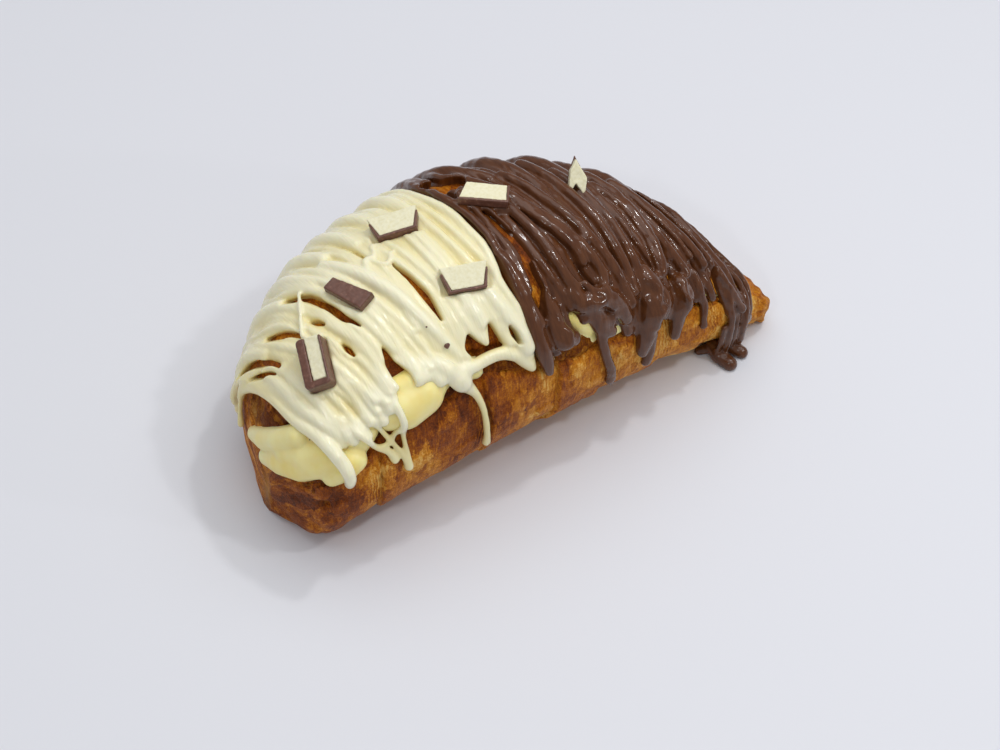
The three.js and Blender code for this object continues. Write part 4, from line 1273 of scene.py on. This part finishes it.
HERO_STRANDS = [  # the strands that stand out on top, then those of the far side
    [(-6, -30, 1.8, 1.6), (0, -10, 2.4, 1.8), (6.7, 6, 2.8, 2.0), (13.3, 22, 2.9, 2.0),
     (17, 37, 2.7, 2.0), (16.3, 45, 2.2, 2.1)],
    [(-1.5, -8, 2.0, 1.6), (1.9, 14, 2.6, 1.9), (2.9, 25, 2.7, 2.0), (4, 35, 2.7, 2.1),
     (5.2, 41, 2.4, 2.4)],
    [(0, -12, 1.8, 1.5), (5.7, 8, 3.0, 1.7), (9.5, 18, 3.2, 1.8), (12, 26, 2.9, 1.7),
     (12.6, 32, 2.4, 1.7)],
    [(8, -20, 2.2, 1.6), (13, 0, 2.8, 1.8), (18, 18, 3.0, 1.8), (21.6, 34, 2.9, 1.9),
     (24.6, 55, 2.4, 2.2)],
    [(19, -30, 2.4, 2.0), (24.4, 6, 2.8, 1.9), (26.6, 32, 2.8, 1.9), (27.4, 50, 2.4, 2.1)],
    [(26, -20, 2.4, 1.6), (29.6, 10, 2.8, 1.6), (31.0, 36, 2.8, 1.8), (31.2, 54, 2.4, 2.2)],
    [(38, -20, 2.4, 1.9), (42, 3, 2.6, 1.9), (42.4, 31, 2.6, 2.0), (41, 43, 2.2, 2.2)],
    [(36, -10, 2.2, 1.5), (43, 12, 2.4, 1.6), (47, 26, 2.4, 1.7), (51, 44, 2.2, 2.0)],
    [(46, -20, 2.0, 1.7), (52, 6, 2.3, 1.7), (58, 26, 2.2, 1.8), (60, 36, 1.8, 1.8)],
    [(-16, -62, 1.0, 2.2), (-15, -45, 1.7, 2.6), (-12.4, -30, 1.2, 1.8)],
    [(-10, -70, 1.4, 2.4), (-7, -48, 2.0, 3.0), (-2, -34, 1.8, 2.6), (4, -20, 1.4, 2.0)],
    [(6, -70, 1.4, 2.6), (10, -40, 2.0, 3.2), (14, -20, 1.6, 2.6), (17, -6, 1.0, 1.8)],
    [(20, -70, 1.4, 2.4), (25, -42, 2.2, 3.2), (29, -22, 1.8, 2.6), (31, -8, 1.2, 1.8)],
    [(31, -66, 1.2, 2.2), (35, -38, 2.0, 2.8), (37.5, -18, 1.6, 2.2)],
    [(41, -66, 1.2, 2.2), (45, -38, 1.8, 2.8), (48.5, -14, 1.6, 2.2), (51, 2, 1.2, 1.6)],
]
WRINKLES = [  # folds in the thick pools, where the pour piled up
    [(8.4, 40.6, 4.6, 0.9), (10.0, 44.2, 5.2, 1.1), (12.5, 45.9, 5.4, 1.1),
     (15.4, 45.5, 4.8, 0.9)],
    [(8.1, 47.9, 5.0, 0.9), (10.3, 50.3, 5.2, 1.1), (13.8, 49.9, 5.4, 1.0),
     (16.0, 53.5, 4.8, 0.9)],
    [(13.3, 47.1, 5.0, 0.8), (16.3, 49.5, 5.0, 1.0), (18.4, 53.5, 4.4, 0.9)],
    [(-3.6, 55, 4.2, 0.9), (-1.6, 58, 4.4, 1.0), (-2.4, 62, 4.2, 0.9)],
    [(32.0, 46, 5.6, 0.9), (34.2, 50.7, 6.4, 1.1), (32.6, 55.9, 6.0, 1.0)],
    [(34.6, 60, 5.4, 0.9), (31.6, 64, 5.4, 1.1), (32.4, 70, 4.4, 0.9)],
    [(46.6, 50, 4.6, 0.9), (45.0, 56, 5.2, 1.0), (46.4, 62, 4.6, 0.9)],
]
BUNDLE = [  # x at the crown, radius
    (58.6, 1.15), (61.4, 1.2), (64.2, 1.3), (67.0, 1.25), (69.8, 1.15),
]
BUNDLE_BEND = [  # angle, how far the bundle has moved along x, how far its strands spread
    (-60, -3.0, 1.0), (8, 0, 1.0), (20, 3.6, 1.2), (34, 7.4, 1.35), (50, 7.6, 1.35),
    (64, 7.6, 1.25), (88, 6.8, 1.0),
]
PUDDLE = [  # (x, y, z, radius)
    [(66.8, -27, 3.5, 2.6), (66.6, -30.5, 1.6, 2.7), (68.1, -35.4, 1.3, 2.6)],
    [(72.2, -27, 3.5, 2.6), (73.0, -30.2, 1.6, 2.5), (74.6, -33.4, 1.3, 2.3)],
    [(70, -26, 2.5, 2.6), (66, -26, 1.4, 2.0), (62.4, -24.9, 1.0, 1.6)],
    [(67, -26.5, 2, 2.6), (73.5, -27, 2, 2.6)],
]


def add_bundle(volume):
    """Strands that pour over the thin tip and fall straight to the surface."""
    turns, shifts, spreads = np.array(BUNDLE_BEND).T
    middle = np.mean([x for x, _ in BUNDLE])
    chance = np.random.RandomState(35)
    for x, radius in BUNDLE:
        angles = np.linspace(-70, 88, 30)
        shift, spread = (np.interp(angles, turns, column) for column in (shifts, spreads))
        wave = 0.5 * np.sin(np.radians(angles) * 3 + chance.uniform(0, 6.3))
        xs = np.minimum(middle + shift + (x - middle) * spread + wave, 78.5)
        lift = 1.1 + 0.5 * np.sin(np.radians(angles) * 2 + chance.uniform(0, 6.3))
        on_skin = lay(xs, angles, lift)
        low = on_skin[-1] * [1, 1, 0.5] + [0, 0.4, 0]
        floor = np.array([on_skin[-1][0], on_skin[-1][1] + 2.0, 1.2])
        path = np.concatenate([on_skin, [low, floor]])
        radii = radius * (1 + 0.16 * np.sin(np.linspace(0, 9, len(path)) + chance.uniform(0, 6.3)))
        volume.stroke(path, radii, 0.12)


def make_milk():
    """The milk coat: a lower layer, upper strands, grooves, drips, the bundle and its puddle."""
    volume = Volume((-24, -46, -1), (90, 62, 90), COAT_STEP)
    add_strands(volume, crown_places(-14, 57, 24), MILK_FEET, 2.2, -0.7, 31, side=1, blend=1.0,
                wander=0.8)
    add_strands(volume, crown_places(-13.5, 58, 24), UPPER_FEET, 1.35, 1.4, 32, start=-84, side=1,
                blend=0.3, scatter=7, ends=1.25, wander=1.3, jitter=0.8)
    add_strands(volume, crown_places(-4, 58, 15), MILK_FEET - [0, 14], 0.8, 2.6, 33, start=-14,
                side=1, blend=0.4, scatter=10, wander=1.2, jitter=0.3, cut=True)
    add_drips(volume, HERO_STRANDS, 0.2)
    add_drips(volume, MILK_DRIPS, 0.7)
    add_drips(volume, WRINKLES, 1.9)
    add_bundle(volume)
    for path in PUDDLE:
        path = np.array(path)
        volume.stroke(path[:, :3], path[:, 3], 1.0)
    carve_slots(volume)
    press_slices(volume, ["bar_slice_top"])
    return coat_mesh(volume, "milk_coat", 0.16)


milk = make_milk()

# %% [markdown]
# **Milk chocolate.** Still glossy, because it has only just set. The brown is dark and a little
# grey, and most of what the eye sees on top is the reflection of the studio. The shine comes from
# a low roughness, with a clear cocoa-butter film as a thin coat.


# %% Milk chocolate material
FILM_GLOSS = 0.03  # roughness of the film of cocoa butter

milk_chocolate = new_material("milk_chocolate")
lines, bump = pour_lines(milk_chocolate, 1.1111, 6.25, 0.35)
colour = add_node(milk_chocolate, "ShaderNodeValToRGB", links={"Fac": lines},
                  steps=[(0.3, 0x4F2B15), (0.7, 0x61391F)]).outputs[0]
finish(milk_chocolate, {
    "Roughness": 0.17, "IOR": 1.44, "Specular IOR Level": 0.38,
    "Coat Weight": 0.34, "Coat Roughness": FILM_GLOSS, "Coat IOR": 1.46},
    {"Base Color": colour, "Normal": bump})
milk.data.materials.append(milk_chocolate)
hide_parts("milk_chocolate_coat")
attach(milk, "root")
print("roughness of the film:", FILM_GLOSS)

# %% [markdown]
# ## The bar slices
#
# The bar is a trough of chocolate round a milk filling, cut across with a knife. The knife leaves
# the chocolate's cut edge nearly smooth, and the filling a little crumbly. The end chunk keeps its
# moulded end, the chip is chocolate alone, and the spire stands on a corner.

# %% Slices
SHELL, SIDE_WALL, END_WALL = 0.9, 2.9, 2.1
ARM_TOP = 2.7
MOULD_TAPER = 0.12
FILLING_GAP = 0.06
BAR_STEP = 0.19
CUT_ROUGHNESS = (0.05, 0.07)  # of the chocolate and of the filling, in millimetres
CHIP_OUTLINE = [(-0.5, -0.22), (0.44, -0.5), (0.5, 0.46), (-0.44, 0.46)]
TOP_SLICE_OUTLINE = [(-0.49, -0.5), (0.48, -0.5), (0.5, 0.44), (-0.34, 0.5)]
SPIRE_FRONT = [(-0.3, -0.5), (0.5, -0.5), (0.34, 0.05), (-0.42, 0.5), (-0.5, 0.08)]
SPIRE_NOTCH = [(-0.24, -0.62), (0.46, -0.62), (0.36, -0.46), (-0.08, -0.22)]
SPIRE_BACK = [(-0.3, -0.5), (0.5, -0.5), (0.36, 0.07), (-0.44, 0.6), (-0.5, 0.1)]


def outline_distance(u, v, corners):
    """Distance from a convex outline whose corners run anticlockwise."""
    result = np.full(np.broadcast_shapes(u.shape, v.shape), -FAR_AWAY)
    for (au, av), (bu, bv) in zip(corners, corners[1:] + corners[:1]):
        du, dv = bu - au, bv - av
        result = np.maximum(result, ((u - au) * dv - (v - av) * du) / math.hypot(du, dv))
    return result


def slab(w, low, high):
    """Distance from the space between two planes."""
    return np.maximum(low - w, w - high)


def trough_outline(long, deep, inset, top=0.0, top_inset=0.0):
    """Corners of a bar's cross-section: narrow below, where the mould tapers, and open on top."""
    half, slope = long / 2, MOULD_TAPER * long
    return [(-half + slope + inset, -deep / 2 + inset), (half - slope - inset, -deep / 2 + inset),
            (half - top_inset, deep / 2 + top), (-half + top_inset, deep / 2 + top)]


def bar_parts(name, u, v, w):
    """Distances of a slice's chocolate and of its filling, over local u, v and w."""
    long, deep, thick = BARS[name][5:]
    half, side, t = long / 2, deep / 2, thick / 2

    def sized(outline):
        return outline_distance(u, v, [(a * long, b * deep) for a, b in outline])

    if name == "bar_chip":
        return meet(sized(CHIP_OUTLINE), slab(w, -t, t), 0.5), None
    if name == "bar_end_chunk":
        box = meet(meet(slab(u, -half, half), slab(v, -side, side), 1.6), slab(w, -t, t), 0.8)
        across = slab(v, -side + SHELL, side - SIDE_WALL)
        hollow = np.maximum(np.maximum(slab(u, -half + END_WALL, half + 2), across),
                            slab(w, -t + SHELL, t + 2))
        inner = meet(meet(slab(u, -half + END_WALL, half), across, 0.3),
                     slab(w, -t + SHELL, t - 0.4), 0.5)
        return meet(box, -hollow, 0.5), inner + FILLING_GAP
    if name == "bar_spire":
        front = meet(sized(SPIRE_FRONT), slab(w, 0.06, thick), 0.4)
        back = meet(sized(SPIRE_BACK), slab(w, -SHELL, 0), 0.4)
        # the filling's front has a notch at its foot, where the dark back sheet shows through
        return back, meet(front, -sized(SPIRE_NOTCH), 0.3)
    if name == "bar_slice_top":
        outer = meet(sized(TOP_SLICE_OUTLINE), slab(w, -t, t), 0.4)
        inner = np.maximum(SHELL - side - v, u - half + SHELL)
        core = meet(meet(outer, inner, 0.25), slab(w, -t, t - 0.05), 0.3)
        return meet(outer, -inner, 0.25), core + FILLING_GAP
    outer = meet(outline_distance(u, v, trough_outline(long, deep, 0)), slab(w, -t, t), 0.4)
    inner = outline_distance(u, v, trough_outline(long, deep, SHELL, 0.5, 0.3))
    core = meet(inner, slab(w, -t + 0.1, t - 0.05), 0.3)
    return meet(meet(outer, -inner, 0.25), v - ARM_TOP, 0.6), core + FILLING_GAP


def make_bar(name, materials):
    """A slice's chocolate and its filling, in their place, each dressed."""
    ways, middle = stance(*BARS[name])
    reach = np.array(BARS[name][5:]) / 2 + [1.2, 1.6, 3]
    for kind, part in enumerate(("shell", "filling")):
        volume = Volume(-reach, reach, BAR_STEP)
        u, v, w = np.meshgrid(*volume.axes, indexing="ij")
        field = bar_parts(name, u, v, w)[kind]
        if field is None:
            continue
        spots = np.stack([u, v, w], -1)
        uneven = noise(spots, 0.9, 70 + kind) + noise(spots, 2.4, 72)
        volume.field = (field + CUT_ROUGHNESS[kind] * uneven).astype(np.float32)
        piece = volume.mesh(name + "_" + part + "_dressed")
        placed = (points_of(piece) @ ways + middle) * MM
        piece.data.vertices.foreach_set("co", placed.astype(np.float32).ravel())
        piece.data.update()
        piece.data.materials.append(materials[kind])
        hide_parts(name + "_" + part)
        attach(piece, "root")
        print(piece.name, "faces:", len(piece.data.polygons))


# %% [markdown]
# **Moulded bar chocolate.** Firm chocolate from a cold mould, cut with a knife: browner and duller
# than the fresh pour, satin, with paler scuffs. **Milk filling.** Milk powder and sugar in fat: off
# white and matt, and slightly crumbly where the knife went through. The grit of both is really
# finer than a tenth of a millimetre. It is drawn about a millimetre wide, so that it shows.

# %% Bar materials and slices
bar_chocolate = new_material("moulded_bar_chocolate")
bar_filling = new_material("milk_filling")
BAR_FINISHES = [  # material, size of the grit, strength of its bump, colours, roughness, IOR
    (bar_chocolate, 1.1111, 0.15, [(0.3, 0x5E3B2E), (0.6, 0x6E483A), (0.75, 0x8A6452)], 0.34, 1.5),
    (bar_filling, 0.90909, 0.25, [(0.3, 0xE4DDB6), (0.62, 0xECE7C8)], 0.6, 1.46),
]
for material, size, strength, colours, roughness, ior in BAR_FINISHES:
    cloud, bump = clouds(material, size, 4, strength, 0.2)
    colour = add_node(material, "ShaderNodeValToRGB", links={"Fac": cloud},
                      steps=colours).outputs[0]
    finish(material, {"Roughness": roughness, "IOR": ior}, {"Base Color": colour, "Normal": bump})
for name in BARS:
    make_bar(name, (bar_chocolate, bar_filling))

# %% [markdown]
# ## Crumbs
#
# The knife left two crumbs of bar chocolate on the white coat. Each is a small broken lump.

# %% Crumbs
CRUMBS = [(-40.5, 39.8, 3.0, 0.95), (-43.8, 29.0, 3.1, 0.6)]  # x, angle, height, radius
CRUMB_STEP = 0.16


def make_crumbs():
    """All the crumbs in one piece."""
    all_points, all_quads, count = [], [], 0
    for x, angle, lift, radius in CRUMBS:
        place = bare(x, angle) + outward(x, angle) * lift
        volume = Volume(place - 2.4, place + 2.4, CRUMB_STEP)
        ends = [place - [radius * 0.7, 0, 0], place + [radius * 0.6, 0.3, 0]]
        volume.stroke(ends, [radius, radius * 0.7], 0.3)
        uneven = 0.35 * radius * noise(volume.points(), radius * 1.1, 75)
        volume.field += uneven.astype(np.float32)
        lump = volume.mesh("lump")
        all_points.append(points_of(lump))
        all_quads.append(np.array([list(q.vertices) for q in lump.data.polygons]) + count)
        count += len(all_points[-1])
        bpy.data.objects.remove(lump)
    crumbs = add_mesh("chocolate_crumbs", np.concatenate(all_points), np.concatenate(all_quads),
                      bar_chocolate)
    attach(crumbs, "root")
    return crumbs


print("crumb faces:", len(make_crumbs().data.polygons))

# %% [markdown]
# ## The floor and the light
#
# The light is soft and comes from above and behind, and the wet chocolate shows small bright
# spots. One big softbox gives the soft light. Four small lamps add little light, and their
# reflections make the spots. A pale world fills the shadows. The floor is plain and matt.

# %% Floor
pale_surface = finish(new_material("pale_matt_surface"),
                      {"Base Color": linear(0xDEDFE5), "Roughness": 0.6})
REACH = 1500
corners = [(-REACH, -REACH, 0), (REACH, -REACH, 0), (REACH, REACH, 0), (-REACH, REACH, 0)]
floor = add_mesh("floor", corners, [(0, 1, 2, 3)], pale_surface)
print("floor:", 2 * REACH, "mm wide")

# %% Lights
LAMPS = {  # place, what it points at, size in millimetres, watts
    "overhead_softbox": ((150, 160, 1300), (0, 0, 30), (1900, 1400), 9.3),
    "back_lamp": ((330, 60, 850), (10, -10, 60), (55, 55), 1.1),
    "left_lamp": ((-520, -300, 700), (10, -10, 60), (55, 55), 0.6),
    "front_lamp": ((300, -330, 760), (10, -10, 60), (55, 55), 0.9),
    "low_lamp": ((420, -520, 330), (20, -10, 50), (32, 32), 0.24),
}
for name, (place, aim, size, watts) in LAMPS.items():
    light = bpy.data.lights.new(name, "AREA")
    light.shape = "RECTANGLE"
    light.size, light.size_y = size[0] * MM, size[1] * MM
    light.energy = watts
    lamp = bpy.data.objects.new(name, light)
    lamp.location = Vector(place) * MM
    lamp.rotation_euler = (Vector(place) - Vector(aim)).to_track_quat("Z", "Y").to_euler()
    bpy.context.scene.collection.objects.link(lamp)
print("lamps:", len(LAMPS))

world = bpy.data.worlds.new("white_studio")
world.use_nodes = True
background = world.node_tree.nodes["Background"]
background.inputs["Color"].default_value = linear(0xF4F6FA)
background.inputs["Strength"].default_value = 0.4
bpy.context.scene.world = world
bpy.context.scene.view_settings.view_transform = "Standard"
